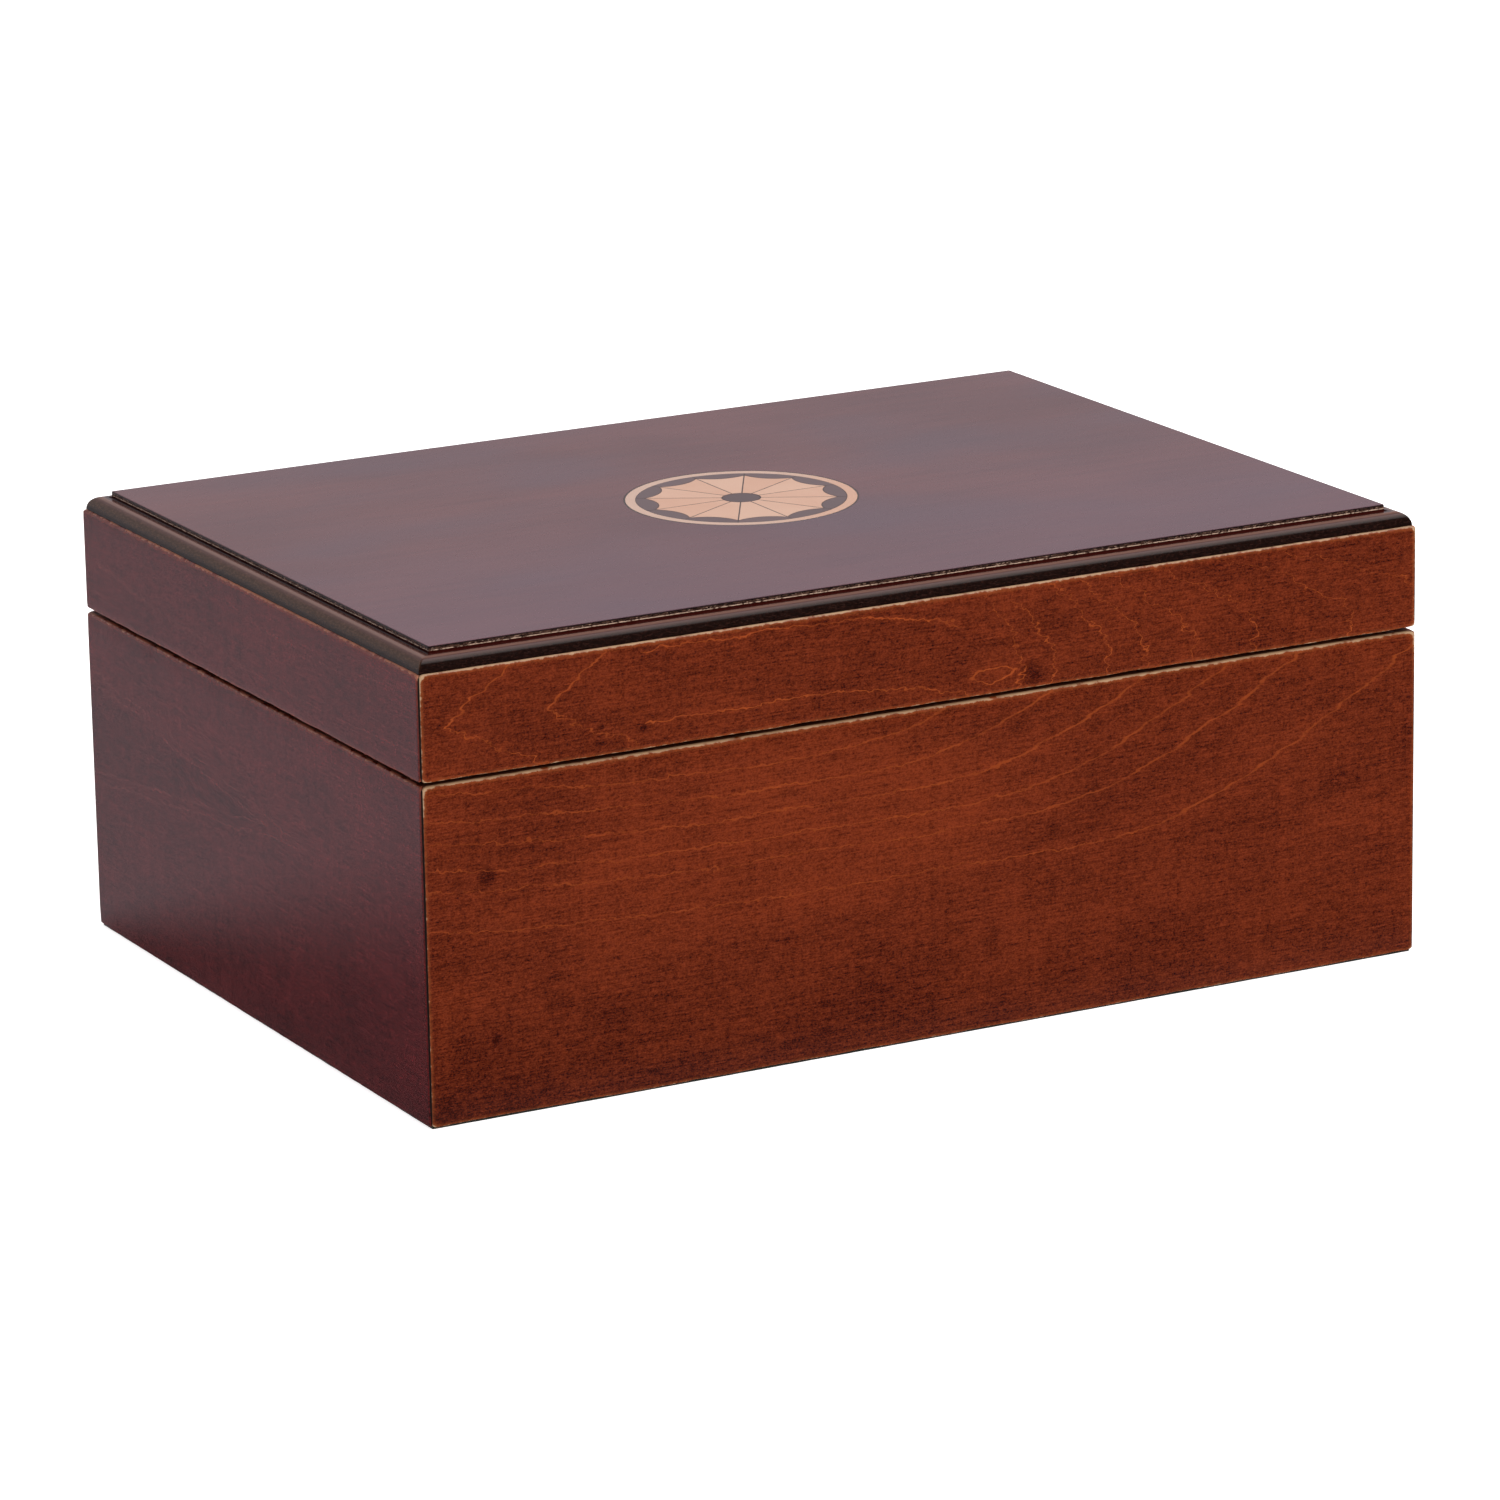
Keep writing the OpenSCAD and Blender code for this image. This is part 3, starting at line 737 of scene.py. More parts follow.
ring_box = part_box("inlay_ring")
disc_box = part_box("inlay_disc")
inlay_top = ring_box[1].z
veneer_thick = ring_box[1].z - ring_box[0].z
ring_outer = ring_box[1].x
disc_radius = disc_box[1].x + JOINT / 2
petal_count = sum(1 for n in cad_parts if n.startswith("inlay_petal_"))
sector = 2 * math.pi / petal_count
RING_WIDTH = 2.75 * MM
POINT_GAP = 2.6 * MM
HOLLOW_DEPTH = 2.1 * MM
ring_inner = ring_outer - RING_WIDTH
point_radius = ring_inner - POINT_GAP
half_chord = point_radius * math.sin(sector / 2)
hollow_radius = (half_chord ** 2 / HOLLOW_DEPTH + HOLLOW_DEPTH) / 2
hollow_centre = point_radius * math.cos(sector / 2) + hollow_radius - HOLLOW_DEPTH


def new_tree(name, inputs):
    """A Geometry Nodes tree with named inputs, and a link to each of them."""
    tree = bpy.data.node_groups.new(name, "GeometryNodeTree")
    for label, kind in inputs.items():
        tree.interface.new_socket(label, in_out="INPUT", socket_type=f"NodeSocket{kind}")
    tree.interface.new_socket("Geometry", in_out="OUTPUT", socket_type="NodeSocketGeometry")
    start = Link(tree)
    return tree, start, [start.node("NodeGroupInput", output=i) for i in range(len(inputs))]


def end_tree(start, instances, finish):
    """Makes a tree's instances real, in one material, and gives them out."""
    real = start.node("GeometryNodeRealizeInstances", {"Geometry": instances})
    done = start.node("GeometryNodeSetMaterial", {"Geometry": real, "Material": finish})
    start.node("NodeGroupOutput", {0: done})


def sector_tree(inner, outer):
    """Geometry Nodes for one veneer of the fan, drawn along +X and repeated round the middle.

    inner and outer give its two ends' radii as formulas of the angle."""
    tree, start, (count, joint, thick, top, seed, finish) = new_tree("fan_veneer", {
        "Count": "Int", "Joint": "Float", "Thickness": "Float", "Top": "Float", "Seed": "Int",
        "Material": "Material"})
    grid = start.node("GeometryNodeMeshGrid", {
        "Size X": 1.0, "Size Y": 2.0, "Vertices X": 22, "Vertices Y": 15})
    share, across, _ = start.node("GeometryNodeInputPosition").parts()
    share = share + 0.5
    half_turn = math.pi / count
    angle = across * half_turn
    radius = inner(angle) * (1 - share) + outer(angle) * share
    trimmed = across * (half_turn - (joint / 2 / radius).calc("ARCSINE"))
    spot = start.vector(radius * trimmed.calc("COSINE"), radius * trimmed.calc("SINE"), top - thick)
    flat = start.node("GeometryNodeSetPosition", {"Geometry": grid, "Position": spot})
    strip = {"Geometry": flat, "Name": "strip", "Value": spot}
    marked = start.node("GeometryNodeStoreNamedAttribute", strip, data_type="FLOAT_VECTOR")
    raised = start.node("GeometryNodeExtrudeMesh", {
        "Mesh": marked, "Offset": (0.0, 0.0, 1.0), "Offset Scale": thick, "Individual": False})
    under = start.node("GeometryNodeFlipFaces", {"Mesh": marked})
    both = start.node("GeometryNodeJoinGeometry")
    for half in (raised, under):
        tree.links.new(half.socket, both.socket.node.inputs[0])
    closed = start.node("GeometryNodeMergeByDistance", {"Geometry": both, "Distance": 1e-6})
    spokes = start.node("GeometryNodePoints", {"Count": count})
    turn = start.vector(0, 0, (start.node("GeometryNodeInputIndex") + 0.5) * half_turn * 2)
    fan = start.node("GeometryNodeInstanceOnPoints", {
        "Points": spokes, "Instance": closed, "Rotation": turn})
    shade = start.node("FunctionNodeRandomValue", {"Seed": seed}, 1, data_type="FLOAT")
    tint = {"Geometry": fan, "Name": "shade", "Value": shade}
    tinted = start.node("GeometryNodeStoreNamedAttribute", tint, data_type="FLOAT", domain="INSTANCE")
    end_tree(start, tinted, finish)
    return tree


def grown(name, tree, values):
    """A plain mesh object from a Geometry Nodes tree, its inputs set by name."""
    made = new_object(name, bpy.data.meshes.new(name))
    nodes = made.modifiers.new("nodes", "NODES")
    nodes.node_group = tree
    for item in tree.interface.items_tree:
        if item.in_out == "INPUT":
            nodes[item.identifier] = values[item.name]
    settle(made)
    return made


def hollow(trim):
    """The radius at an angle of the circle that cuts the petals' hollow ends."""
    size = (hollow_radius + trim) ** 2
    def at(angle):
        lean = angle.calc("SINE") * hollow_centre
        return angle.calc("COSINE") * hollow_centre - (size - lean * lean) ** 0.5
    return at


def steady(radius):
    """The same radius at every angle."""
    return lambda angle: angle * 0 + radius


def inlay_wood(name, pale, deep, streak):
    """Marquetry veneer whose grain runs out from the middle, with a tint of its own on each strip."""
    material, start = paint(name)
    strip = start.node("ShaderNodeAttribute", output=1, attribute_name="strip").scaled(1000, 1000, 1000)
    shade = start.node("ShaderNodeAttribute", output=2, attribute_name="shade")
    moved = strip.moved(start.vector(shade * 90, shade * 37, shade * 11))
    fibres = moved.grain((9, 0.45, 2), 3, 0.65, 3)
    pores = moved.grain((1.6, 0.14, 2), 1, 0.5, 5).smooth(0.64, 0.74)
    cloud = start.spot().grain((12, 12, 12), 2, 0.5, 7)
    tone = shade * 0.45 + fibres * 0.5 + cloud * 0.5 - 0.25
    colour = tone.smooth(0, 1).mix(deep, pale)
    colour = (pores * 0.35).mix(colour, streak)
    strip_x, strip_y, _ = strip.parts()
    from_joint = strip_x * math.sin(sector / 2) - abs(strip_y) * math.cos(sector / 2)
    colour = (from_joint.smooth(0.7, 0.2) * 0.4).mix(colour, streak)
    finish_paint(start, colour, 0.28 + fibres * 0.08, fibres * 0.3 - pores * 0.3, 0.02 * MM, IOR=1.5)
    return material


pale_wood = inlay_wood("pale_marquetry", (0.77, 0.50, 0.36), (0.69, 0.385, 0.255), (0.30, 0.13, 0.075))
dark_wood = inlay_wood("dark_marquetry", (0.148, 0.086, 0.086), (0.106, 0.060, 0.062), (0.05, 0.022, 0.022))
glue_brown = inlay_wood("joint_glue", (0.085, 0.032, 0.018), (0.045, 0.015, 0.010), (0.02, 0.008, 0.005))

common = {"Count": petal_count, "Joint": JOINT, "Thickness": veneer_thick, "Top": inlay_top}
petals = grown("fan_petals", sector_tree(steady(disc_radius + JOINT / 2), hollow(JOINT / 2)),
               {**common, "Seed": 4, "Material": pale_wood})
place(petals, "lid", "light_inlay", pale_wood, *[f"inlay_petal_{i + 1}" for i in range(petal_count)])
tips = grown("fan_tips", sector_tree(hollow(-JOINT / 2), steady(ring_inner - JOINT / 2)),
             {**common, "Seed": 6, "Material": dark_wood})
place(tips, "lid", "dark_inlay", dark_wood, *[f"inlay_tip_{i + 1}" for i in range(petal_count)])


def turned_solid(name, section, steps=144):
    """A closed solid turned about Z from its outline, given as (radius, height)."""
    points = []
    for radius, height in section:
        for i in range(steps):
            angle = 2 * math.pi * i / steps
            points.append((radius * math.cos(angle), radius * math.sin(angle), height))
    return solid_mesh(name, points, grid_faces(len(section), steps, True))


def band(name, inner, outer, foot, top, edge=0.04 * MM):
    """A flat ring, or a disc if inner is 0, with its top edges just broken."""
    crest = inner + edge if inner else 0
    section = [(inner, foot), (outer, foot), (outer, top - edge), (outer - edge, top)]
    section += [(r, top) for r in between(outer - edge, crest, 5)] + [(crest, top)]
    if inner:
        section.append((inner, top - edge))
    return turned_solid(name, section)


def bent_wood(name, pale, deep, warm, warm_angle):
    """Veneer bent into a ring: its grain follows the circle, and one stretch of it is redder."""
    material, start = paint(name)
    spot = start.spot()
    x, y, _ = spot.parts()
    angle = y.calc("ARCTAN2", x)
    radius = (x * x + y * y) ** 0.5
    along = start.vector(angle * (ring_outer / MM), radius)
    fibres = along.grain((14, 0.35, 1), 3, 0.65, 2)
    pores = along.grain((2.2, 0.14, 1), 1, 0.5, 4).smooth(0.62, 0.74)
    facing = (angle - math.radians(warm_angle)).calc("COSINE")
    tone = fibres * 0.9 + spot.grain((9, 9, 9), 2, 0.5, 6) * 0.4 - 0.2
    colour = tone.smooth(0, 1).mix(deep, pale)
    colour = (facing.smooth(0.2, 1.0) * 0.75).mix(colour, warm)
    colour = (pores * 0.3).mix(colour, (deep[0] * 0.5, deep[1] * 0.45, deep[2] * 0.4))
    finish_paint(start, colour, 0.28 + fibres * 0.08, fibres * 0.3 - pores * 0.3, 0.02 * MM, IOR=1.5)
    return material


ring_wood = bent_wood("ring_marquetry", (0.74, 0.52, 0.41), (0.62, 0.41, 0.31), (0.72, 0.40, 0.26), -35)
line_wood = bent_wood("line_marquetry", (0.055, 0.03, 0.022), (0.03, 0.016, 0.012), (0.06, 0.03, 0.02), -45)
veneer_foot = ring_box[0].z
place(band("inlay_ring_band", ring_inner, ring_outer, veneer_foot, inlay_top),
      "lid", "light_inlay", ring_wood, "inlay_ring")
place(band("inlay_dark_line", ring_outer, recess_radius, veneer_foot, inlay_top),
      "lid", "dark_inlay", line_wood, "inlay_stringing")
place(band("inlay_centre", 0, disc_radius - JOINT / 2, veneer_foot, inlay_top),
      "lid", "dark_inlay", dark_wood, "inlay_disc")


def joined(name, pieces):
    """Several objects' meshes as one object."""
    shape = bmesh.new()
    for piece in pieces:
        shape.from_mesh(piece.data)
        bpy.data.objects.remove(piece)
    return shape_object(name, shape)


def glue_spokes(foot, top):
    """The glue between the fan's strips, one thin rib on each of their shared edges."""
    inner, outer = disc_radius + JOINT / 2, ring_inner - JOINT / 2
    middle = Matrix.Translation(((inner + outer) / 2, 0, (foot + top) / 2))
    size = Matrix.Diagonal((outer - inner, JOINT, top - foot, 1))
    shape = bmesh.new()
    for i in range(petal_count):
        bmesh.ops.create_cube(shape, size=1, matrix=Matrix.Rotation(i * sector, 4, "Z") @ middle @ size)
    return shape_object("glue_spokes", shape, 35)


glue_top = inlay_top - GLUE_DROP
glue = joined("inlay_backing_glue", [
    band("glue_backing", 0, recess_radius, backing_low.z, backing_high.z),
    grown("glue_hollows", sector_tree(hollow(JOINT / 2), hollow(-JOINT / 2)), {
        **common, "Thickness": veneer_thick - GLUE_DROP, "Top": glue_top, "Seed": 1, "Material": glue_brown}),
    glue_spokes(veneer_foot, glue_top),
    band("glue_disc_joint", disc_radius - JOINT / 2, disc_radius + JOINT / 2, veneer_foot, glue_top),
    band("glue_ring_joint", ring_inner - JOINT / 2, ring_inner, veneer_foot, glue_top),
])
place(glue, "lid", "dark_inlay", glue_brown, "inlay_backing")

# ---- The bottom board and the felt under it ----
# A thin board glued in a rebate of the four walls, and a sheet of felt glued to its underside so
# that the box doesn't scratch what it stands on. The felt lies flat, with a slightly ragged cut.
FELT_RAGGED = 0.25 * MM
FELT_SOFT = 0.12 * MM
FELT_STEPS = 90

board_paint, start = paint("bottom_board_ply")
spot = start.spot()
ply_fibres = spot.grain((50, 1.2, 4), 3, 0.6, 2)
ply_cloud = spot.grain((40, 40, 40), 2, 0.5, 3)
ply_layers = spot.grain((60, 60, 0.9), 1, 0.5, 4)
ply_tone = ply_fibres * 0.6 + ply_cloud * 0.4
ply_colour = ply_tone.smooth(0.25, 0.75).mix((0.30, 0.17, 0.085), (0.46, 0.30, 0.17))
ply_colour = (ply_layers.smooth(0.45, 0.6) * 0.35).mix(ply_colour, (0.20, 0.11, 0.055))
finish_paint(start, ply_colour, 0.6 + ply_cloud * 0.1, ply_fibres, 0.05 * MM)
coat(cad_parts["base_bottom"], board_paint)


felt_low, felt_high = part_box("underside_felt")


def felt_sheet():
    """One flat sheet with an uneven cut edge and a soft upper and lower edge."""
    foot, top = felt_low.z, felt_high.z
    rings = ((0.9 * MM, foot), (FELT_SOFT, foot), (0, foot + FELT_SOFT),
             (0, top - FELT_SOFT), (FELT_SOFT, top), (0.9 * MM, top))
    corners = [(felt_low.x, felt_low.y), (felt_high.x, felt_low.y),
               (felt_high.x, felt_high.y), (felt_low.x, felt_high.y)]
    points = []
    for inset, height in rings:
        for (x_from, y_from), (x_to, y_to) in zip(corners, corners[1:] + corners[:1]):
            for i in range(FELT_STEPS):
                x = x_from + (x_to - x_from) * i / FELT_STEPS
                y = y_from + (y_to - y_from) * i / FELT_STEPS
                ragged = 0.5 + 0.5 * noise.noise(Vector((x / (3 * MM), y / (3 * MM), 5)))
                pull = inset + FELT_RAGGED * ragged
                if abs(x) > felt_high.x - MM:
                    x -= math.copysign(pull, x)
                if abs(y) > felt_high.y - MM:
                    y -= math.copysign(pull, y)
                points.append((x, y, height))
    columns = 4 * FELT_STEPS
    faces = grid_faces(len(rings), columns)
    faces.append(list(range(columns)))
    faces.append(list(range(len(points) - columns, len(points))))
    return solid_mesh("underside_felt_sheet", points, faces)


def cloth_finish(name, dark, light, fuzz, nap=0.0):
    """A pile fabric: short fibres, a nap that lies in soft patches, and a pale bloom at a low angle."""
    material, start = paint(name)
    spot = start.spot()
    pile = spot.grain((0.32, 0.32, 0.32), 2, 0.7, 2)
    lint = spot.grain((0.9, 0.9, 0.9), 3, 0.7, 3)
    brushed = spot.grain((26, 17, 17), 2, 0.55, 4)
    tone = pile * 0.5 + lint * 0.35 + brushed * (0.3 + nap)
    colour = tone.smooth(0.3, 0.95).mix(dark, light)
    finish_paint(start, colour, 0.85 + lint * 0.1, pile + lint * 0.6, fuzz,
                 Sheen_Weight=0.45, Sheen_Roughness=0.4, Specular_IOR_Level=0.15)
    return material


felt = felt_sheet()
felt_paint = cloth_finish("underside_felt_green", (0.006, 0.008, 0.006), (0.022, 0.027, 0.020), 0.12 * MM)
place(felt, "base", "underside_felt", felt_paint, "underside_felt")

# ---- The linings and the pads ----
# Thin boards wrapped in velvet stand against the walls of the base and of the lid. The floor and
# the inside of the lid are padded: velvet over a layer of wadding, turned under a board.
velvet = cloth_finish("lining_velvet_green", (0.006, 0.012, 0.009), (0.030, 0.048, 0.036), 0.10 * MM, 0.25)
WRAP_RADIUS = 0.7 * MM
WRAP_CELL = 6 * MM
WAVE_DEPTH = 0.12 * MM


def wrapped_board(name, node):
    """A board with cloth pulled round its edges: soft edges and faint waves along the top."""
    low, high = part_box(node)
    size, middle = high - low, (high + low) / 2
    shape = bmesh.new()
    bmesh.ops.create_cube(shape, size=1)
    for v in shape.verts:
        v.co = Vector([middle[k] + v.co[k] * size[k] for k in range(3)])
    for axis in (0 if size.x > size.y else 1, 2):
        count = max(2, round(size[axis] / WRAP_CELL))
        for i in range(1, count):
            point = low.copy()
            point[axis] += size[axis] * i / count
            normal = Vector([1.0 if k == axis else 0.0 for k in range(3)])
            geometry = shape.verts[:] + shape.edges[:] + shape.faces[:]
            bmesh.ops.bisect_plane(shape, geom=geometry, plane_co=point, plane_no=normal, dist=1e-7)
    edges = [e for e in shape.edges if e.calc_face_angle(0) > math.radians(60)]
    bmesh.ops.bevel(shape, geom=edges, offset=WRAP_RADIUS, segments=4, profile=0.5, affect="EDGES")
    for v in shape.verts:
        for k in range(2):
            near = min(v.co[k] - low[k], high[k] - v.co[k])
            wave = noise.noise(Vector((v.co.x / (9 * MM), v.co.y / (9 * MM), v.co.z / (9 * MM) + k)))
            if near < 0.3 * MM:
                v.co[k] += math.copysign(WAVE_DEPTH * max(0, wave), middle[k] - v.co[k])
    return shape_object(name, shape, 180)


for body in ("base", "lid"):
    for side in SIDES:
        node = f"{body}_lining_{side}"
        place(wrapped_board(f"{body}_lining_board_{side}", node), body, "lining_velvet", velvet, node)

PAD_CELL = 4 * MM
PAD_SWELL = 2.2 * MM
PAD_PRESSURE = 3.0
PAD_FRAMES = 20


def pad_shell(name, low, high, up):
    """A closed cushion before it is filled: a thin slab with its rim drawn in."""
    columns = round((high.x - low.x) / PAD_CELL)
    rows = round((high.y - low.y) / PAD_CELL)
    points = []
    for level in (low.z, low.z + (high.z - low.z) * 0.62):
        for j in range(rows + 1):
            for i in range(columns + 1):
                x = low.x + (high.x - low.x) * i / columns
                y = low.y + (high.y - low.y) * j / rows
                rim = min(x - low.x, high.x - x, y - low.y, high.y - y)
                drop = max(0, 1 - rim / (2 * PAD_CELL)) ** 2 * (level - low.z) * 0.55
                points.append((x, y, level - drop))
    layer = (rows + 1) * (columns + 1)
    sheet = grid_faces(rows + 1, columns + 1, False, False)
    faces = [quad[::-1] for quad in sheet] + [tuple(i + layer for i in quad) for quad in sheet]
    border = list(range(columns)) + [j * (columns + 1) + columns for j in range(rows)]
    border += [rows * (columns + 1) + columns - i for i in range(columns)]
    border += [(rows - j) * (columns + 1) for j in range(rows)]
    for a, b in zip(border, border[1:] + border[:1]):
        faces.append((a, b, b + layer, a + layer))
    if not up:
        points = [(x, y, low.z + high.z - z) for x, y, z in points]
    return solid_mesh(name, points, faces, 180)


def fill_pad(pad, low, high, up):
    """Swells the pad with cloth pressure, keeping its back on the board, and holds it in its space."""
    back = low.z if up else high.z
    rest = [v.co.copy() for v in pad.data.vertices]
    pinned = pad.vertex_groups.new(name="glued")
    pinned.add([i for i, co in enumerate(rest) if abs(co.z - back) < 0.3 * MM], 1.0, "REPLACE")
    cloth = pad.modifiers.new("cloth", "CLOTH").settings
    cloth.vertex_group_mass = "glued"
    cloth.use_pressure = True
    cloth.uniform_pressure_force = PAD_PRESSURE
    cloth.quality = 5
    cloth.effector_weights.gravity = 0.0
    for step in range(1, PAD_FRAMES + 1):
        bpy.context.scene.frame_set(step)
    settle(pad)
    pad.vertex_groups.clear()
    bpy.context.scene.frame_set(1)
    spare = 0.02 * (high.z - low.z)
    floor = low.z if up else low.z + spare
    ceiling = high.z - spare if up else high.z
    for v, start_at in zip(pad.data.vertices, rest):
        shift = v.co - start_at
        if shift.length > PAD_SWELL:
            v.co = start_at + shift * (PAD_SWELL / shift.length)
        x, y, z = v.co
        v.co = (min(max(x, low.x), high.x), min(max(y, low.y), high.y), min(max(z, floor), ceiling))
    for polygon in pad.data.polygons:
        polygon.use_smooth = True
    soften = pad.modifiers.new("soften", "SUBSURF")
    soften.levels = soften.render_levels = 1
    settle(pad)


for body, node, up in (("base", "floor_pad", True), ("lid", "lid_pad", False)):
    low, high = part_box(node)
    pad = pad_shell(f"{node}_velvet", low, high, up)
    fill_pad(pad, low, high, up)
    place(pad, body, "lining_velvet", velvet, node)

# ---- The bumpers ----
# Two soft dots stuck near the front corners of the rim. The lid comes down on them, which leaves
# the even dark gap all round.
bumper_low, bumper_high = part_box("rim_bumpers")


def bumpers():
    """Two domed dots, drawn in a little at their feet."""
    radius = (bumper_high.y - bumper_low.y) / 2
    height = bumper_high.z - bumper_low.z
    dome = height * 0.45
    section = [(0, bumper_low.z), (radius * 0.96, bumper_low.z), (radius, bumper_low.z + height * 0.15)]
    for angle in [math.radians(a) for a in range(0, 90, 15)]:
        section.append((radius * math.cos(angle), bumper_high.z - dome + dome * math.sin(angle)))
    section.append((0, bumper_high.z))
    dots = []
    for centre in (bumper_low.x + radius, bumper_high.x - radius):
        dot = turned_solid("bumper", section, 48)
        dot.data.transform(Matrix.Translation((centre, (bumper_low.y + bumper_high.y) / 2, 0)))
        dots.append(dot)
    return joined("rim_bumper_dots", dots)


rubber, start = paint("bumper_rubber_black")
spot = start.spot()
rubber_grain = spot.grain((0.35, 0.35, 0.35), 2, 0.6, 2)
rubber_dust = spot.grain((1.6, 1.6, 1.6), 2, 0.6, 3)
rubber_colour = (rubber_dust.smooth(0.5, 0.75) * 0.6).mix((0.012, 0.012, 0.012), (0.05, 0.047, 0.043))
finish_paint(start, rubber_colour, 0.55 + rubber_dust * 0.2, rubber_grain, 0.02 * MM)
place(bumpers(), "base", "bumper_rubber", rubber, "rim_bumpers")

# ---- The hinges ----
# Two brass stop hinges let in flush at the back. Each has a leaf on the base with two knuckles and
# a stop bar, a leaf on the lid with one knuckle and a fin that meets the bar, and a headed pin.
BRASS_EDGE = 0.14 * MM


def brass(name, seed):
    """Drawn and lightly polished brass: fine lines along it, dull patches and brown spots."""
    material, start = paint(name)
    spot = start.spot()
    lines = spot.grain((22, 0.12, 0.12), 2, 0.6, seed)
    dull = spot.grain((5, 5, 5), 3, 0.6, seed + 2)
    spots = spot.grain((0.8, 0.8, 0.8), 2, 0.6, seed + 4).smooth(0.66, 0.74)
    colour = dull.smooth(0.35, 0.7).mix((0.80, 0.56, 0.24), (0.60, 0.38, 0.14))
    colour = (spots * 0.5).mix(colour, (0.22, 0.12, 0.05))
    finish_paint(start, colour, 0.22 + dull * 0.25 + lines * 0.1, lines, 0.01 * MM, Metallic=1.0)
    return material


def eased_copy(name, node):
    """A copy of a CAD part with its doubles merged and its edges just broken."""
    shape = bmesh.new()
    shape.from_mesh(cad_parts[node].data)
    bmesh.ops.remove_doubles(shape, verts=shape.verts, dist=2e-6)
    bmesh.ops.dissolve_limit(shape, angle_limit=math.radians(2), verts=shape.verts, edges=shape.edges)
    made = shape_object(name, shape, 32)
    ease = made.modifiers.new("ease", "BEVEL")
    ease.width = BRASS_EDGE
    ease.segments = 2
    ease.limit_method = "ANGLE"
    ease.angle_limit = math.radians(40)
    settle(made)
    return made


leaf_brass = brass("hinge_brass_drawn", 2)
pin_brass = brass("pin_brass_turned", 12)
for hand in ("left", "right"):
    for part, body, finish in (("base_leaf", "base", leaf_brass), ("lid_leaf", "lid", leaf_brass),
                               ("pin", "base", pin_brass)):
        node = f"hinge_{hand}_{part}"
        place(eased_copy(f"hinge_{part}_{hand}", node), body, "hinge_brass", finish, node)

# ---- The hinge screws ----
# Three small slotted brass screws in each leaf, with their heads flush and their slots left as
# they came.
HEAD_RADIUS = 1.9 * MM
SHANK_RADIUS = 1.0 * MM
HEAD_HEIGHT = 0.9 * MM
SCREW_LENGTH = 9.0 * MM
SLOT_WIDTH = 0.5 * MM
SLOT_DEPTH = 0.4 * MM
SLOT_REACH = 3 * MM
SCREW_PITCH = 12.5 * MM
THREAD_TURNS = 7
THREAD_PITCH = 0.6 * MM


def screw():
    """One slotted countersunk screw, head up, the top of its head at the origin."""
    tip = -SCREW_LENGTH
    outline = [(0.0, tip), (0.35 * MM, tip + 0.8 * MM), (SHANK_RADIUS * 0.9, tip + 2.2 * MM)]
    for i in range(THREAD_TURNS):
        z = tip + 2.6 * MM + THREAD_PITCH * i
        outline += [(SHANK_RADIUS * 0.82, z), (SHANK_RADIUS, z + 0.25 * MM)]
    outline += [(SHANK_RADIUS, -HEAD_HEIGHT), (HEAD_RADIUS - 0.06 * MM, -0.1 * MM)]
    outline += [(HEAD_RADIUS - 0.12 * MM, 0.0), (0.0, 0.0)]
    made = turned_solid("screw", outline, 32)
    slot = Vector((SLOT_REACH, SLOT_WIDTH / 2, SLOT_DEPTH))
    cut_box(made, -slot, slot)
    return made


def screw_tree():
    """Geometry Nodes for the screws of two leaves, each slot at its own angle."""
    tree, start, (pattern, pitch, spread, line, level, tip, seed, finish) = new_tree("leaf_screws", {
        "Screw": "Object", "Pitch": "Float", "Spread": "Float", "Line": "Float", "Level": "Float",
        "Tip over": "Float", "Seed": "Int", "Material": "Material"})
    shape = start.node("GeometryNodeObjectInfo", {"Object": pattern}, output=4)
    points = start.node("GeometryNodePoints", {"Count": 6})
    index = start.node("GeometryNodeInputIndex")
    leaf = (index / 3).calc("FLOOR")
    in_leaf = index - leaf * 3 - 1
    spot = start.vector((leaf * 2 - 1) * spread + in_leaf * pitch, line, level)
    set_out = start.node("GeometryNodeSetPosition", {"Geometry": points, "Position": spot})
    angle = start.node("FunctionNodeRandomValue", {3: math.pi, "Seed": seed}, 1, data_type="FLOAT")
    screws = start.node("GeometryNodeInstanceOnPoints", {
        "Points": set_out, "Instance": shape, "Rotation": start.vector(tip, 0, angle)})
    end_tree(start, screws, finish)
    return tree


screw_brass = brass("screw_brass", 22)
pattern_screw = screw()
leaf_screws = screw_tree()
for body, node, tip in (("base", "base_hinge_screws", 0.0), ("lid", "lid_hinge_screws", math.pi)):
    low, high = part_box(node)
    screws = grown(f"{body}_leaf_screws", leaf_screws, {
        "Screw": pattern_screw, "Pitch": SCREW_PITCH, "Spread": high.x - HEAD_RADIUS - SCREW_PITCH,
        "Line": (low.y + high.y) / 2, "Level": high.z if body == "base" else low.z, "Tip over": tip,
        "Seed": 5, "Material": screw_brass})
    place(screws, body, "hinge_brass", screw_brass, node)
bpy.data.objects.remove(pattern_screw)

# ---- The floor and the studio's light ----
# A plain pale floor under one large soft light from the front right, with a weaker one overhead
# and a pale surround.
FLOOR_REACH = 12.0


def flat_plane(name, height):
    """A staged plane, much larger than the object."""
    r = FLOOR_REACH
    mesh = bpy.data.meshes.new(name)
    mesh.from_pydata([(-r, -r, height), (r, -r, height), (r, r, height), (-r, r, height)], [], [(0, 1, 2, 3)])
    made = new_object(name, mesh)
    return made


floor = flat_plane("floor", 0)
floor.visible_glossy = False
floor_paint, start = paint("floor_white")
floor_grain = start.node("ShaderNodeTexNoise", {"Scale": 40.0})
finish_paint(start, (0.88, 0.88, 0.88), floor_grain * 0.1 + 0.6,
             Emission_Color=(1, 1, 1), Emission_Strength=0.85)
floor.data.materials.append(floor_paint)

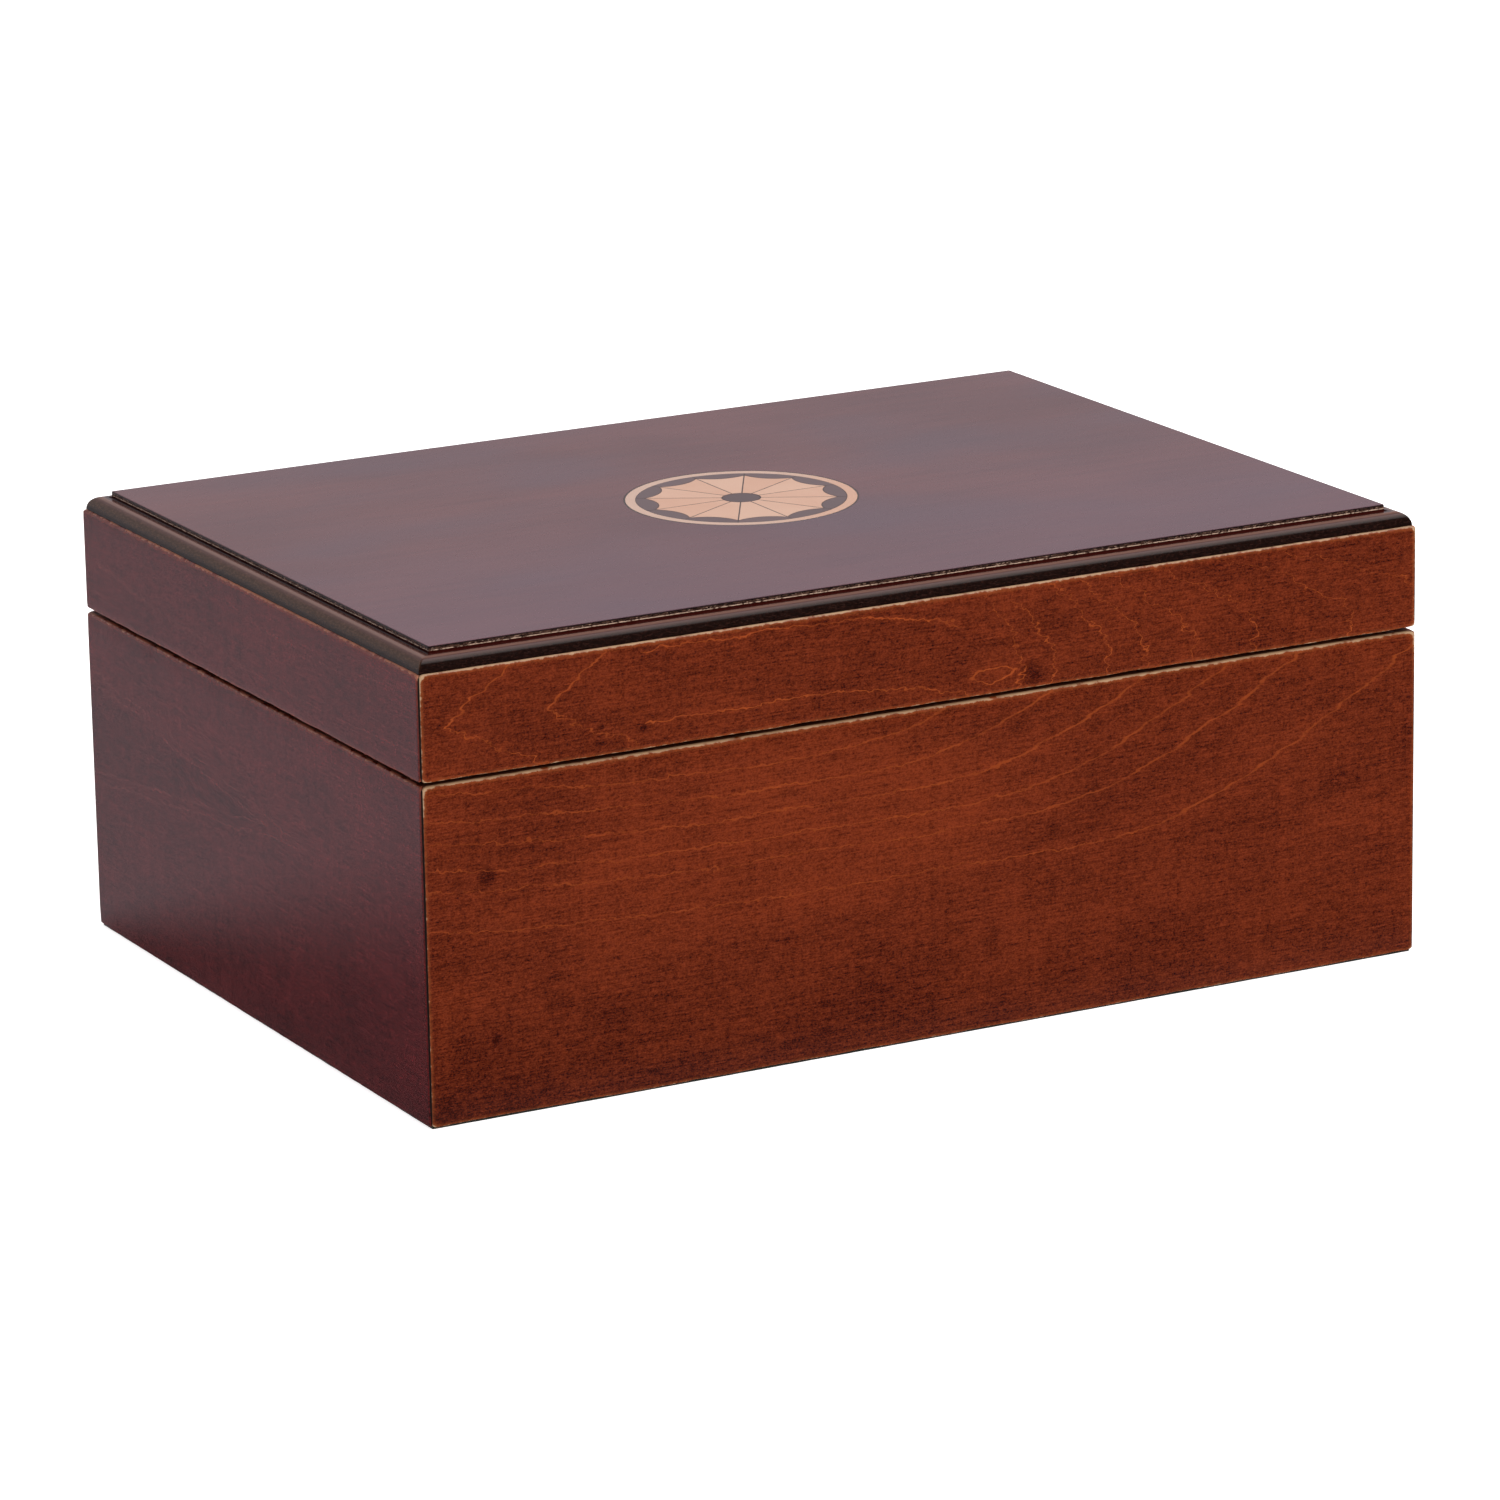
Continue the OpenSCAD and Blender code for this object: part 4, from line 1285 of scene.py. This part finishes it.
# A glowing plane just under the floor, seen only in reflections, with the box's shadow painted on it: the
# polished sides mirror a dim table near the box, and a bright one beyond the painted shadow, dimmer again in
# front of the box.
table = flat_plane("mirrored_table", -0.5 * MM)
table.visible_camera = table.visible_diffuse = table.visible_shadow = False
table_paint, start = paint("mirrored_table")
table_x, table_y, _ = start.node("ShaderNodeTexCoord", output=3).parts()
from_x, from_y = table_x + 0.158, table_y - 0.123
past_shadow = from_y * 0.917 - from_x * 0.399 + 0.015
down_shadow = (from_x * -0.917 - from_y * 0.399).most(0)
soft_edge = down_shadow * 0.87 + 0.02
lit = (past_shadow / soft_edge).smooth(-1.0, 1.0)
table_glow = start.node("ShaderNodeEmission", {
    "Color": (0.95, 0.92, 1.0), "Strength": (lit * 0.31 + 0.10) * table_y.smooth(-0.16, -0.10).most(0.25)})
start.node("ShaderNodeOutputMaterial", {"Surface": table_glow})
table.data.materials.append(table_paint)


def soft_light(name, where, aim, size, power):
    """A square soft light that points at a place and isn't mirrored."""
    data = bpy.data.lights.new(name, "AREA")
    data.size = size
    data.energy = power
    lamp = new_object(name, data)
    way = Vector(aim) - Vector(where)
    lamp.matrix_world = Matrix.Translation(where) @ way.to_track_quat("-Z", "Y").to_matrix().to_4x4()
    lamp.visible_glossy = False


soft_light("front_light", (1.1, -2.4, 1.5), (0, 0, 0.05), 1.6, 62)
soft_light("top_light", (0.2, 0.3, 2.6), (0, 0, 0), 2.4, 30)

world = bpy.data.worlds.new("studio")
bpy.context.scene.world = world
world.use_nodes = True
world.node_tree.nodes.clear()
sky = Link(world.node_tree)
way_x, way_y, way_z = sky.node("ShaderNodeTexCoord", output=0).parts()
behind = (way_y * 0.88 - way_x * 0.45).smooth(-0.35, 0.55)
low_sky = way_z.smooth(0.85, 0.25) * way_z.smooth(-0.45, -0.15)
overhead = (way_x * 0.47 + way_z * 0.88).smooth(0.90, 0.96)
glow_amount = behind * low_sky * 0.495 + overhead * 2.4 + 0.045
shown_sky = overhead.mix((0.95, 0.93, 1.0), (1.0, 0.865, 0.82))
backdrop = sky.node("ShaderNodeBackground", {"Color": shown_sky, "Strength": glow_amount})
sky.node("ShaderNodeOutputWorld", {"Surface": backdrop})

bpy.context.scene.view_settings.view_transform = "Standard"
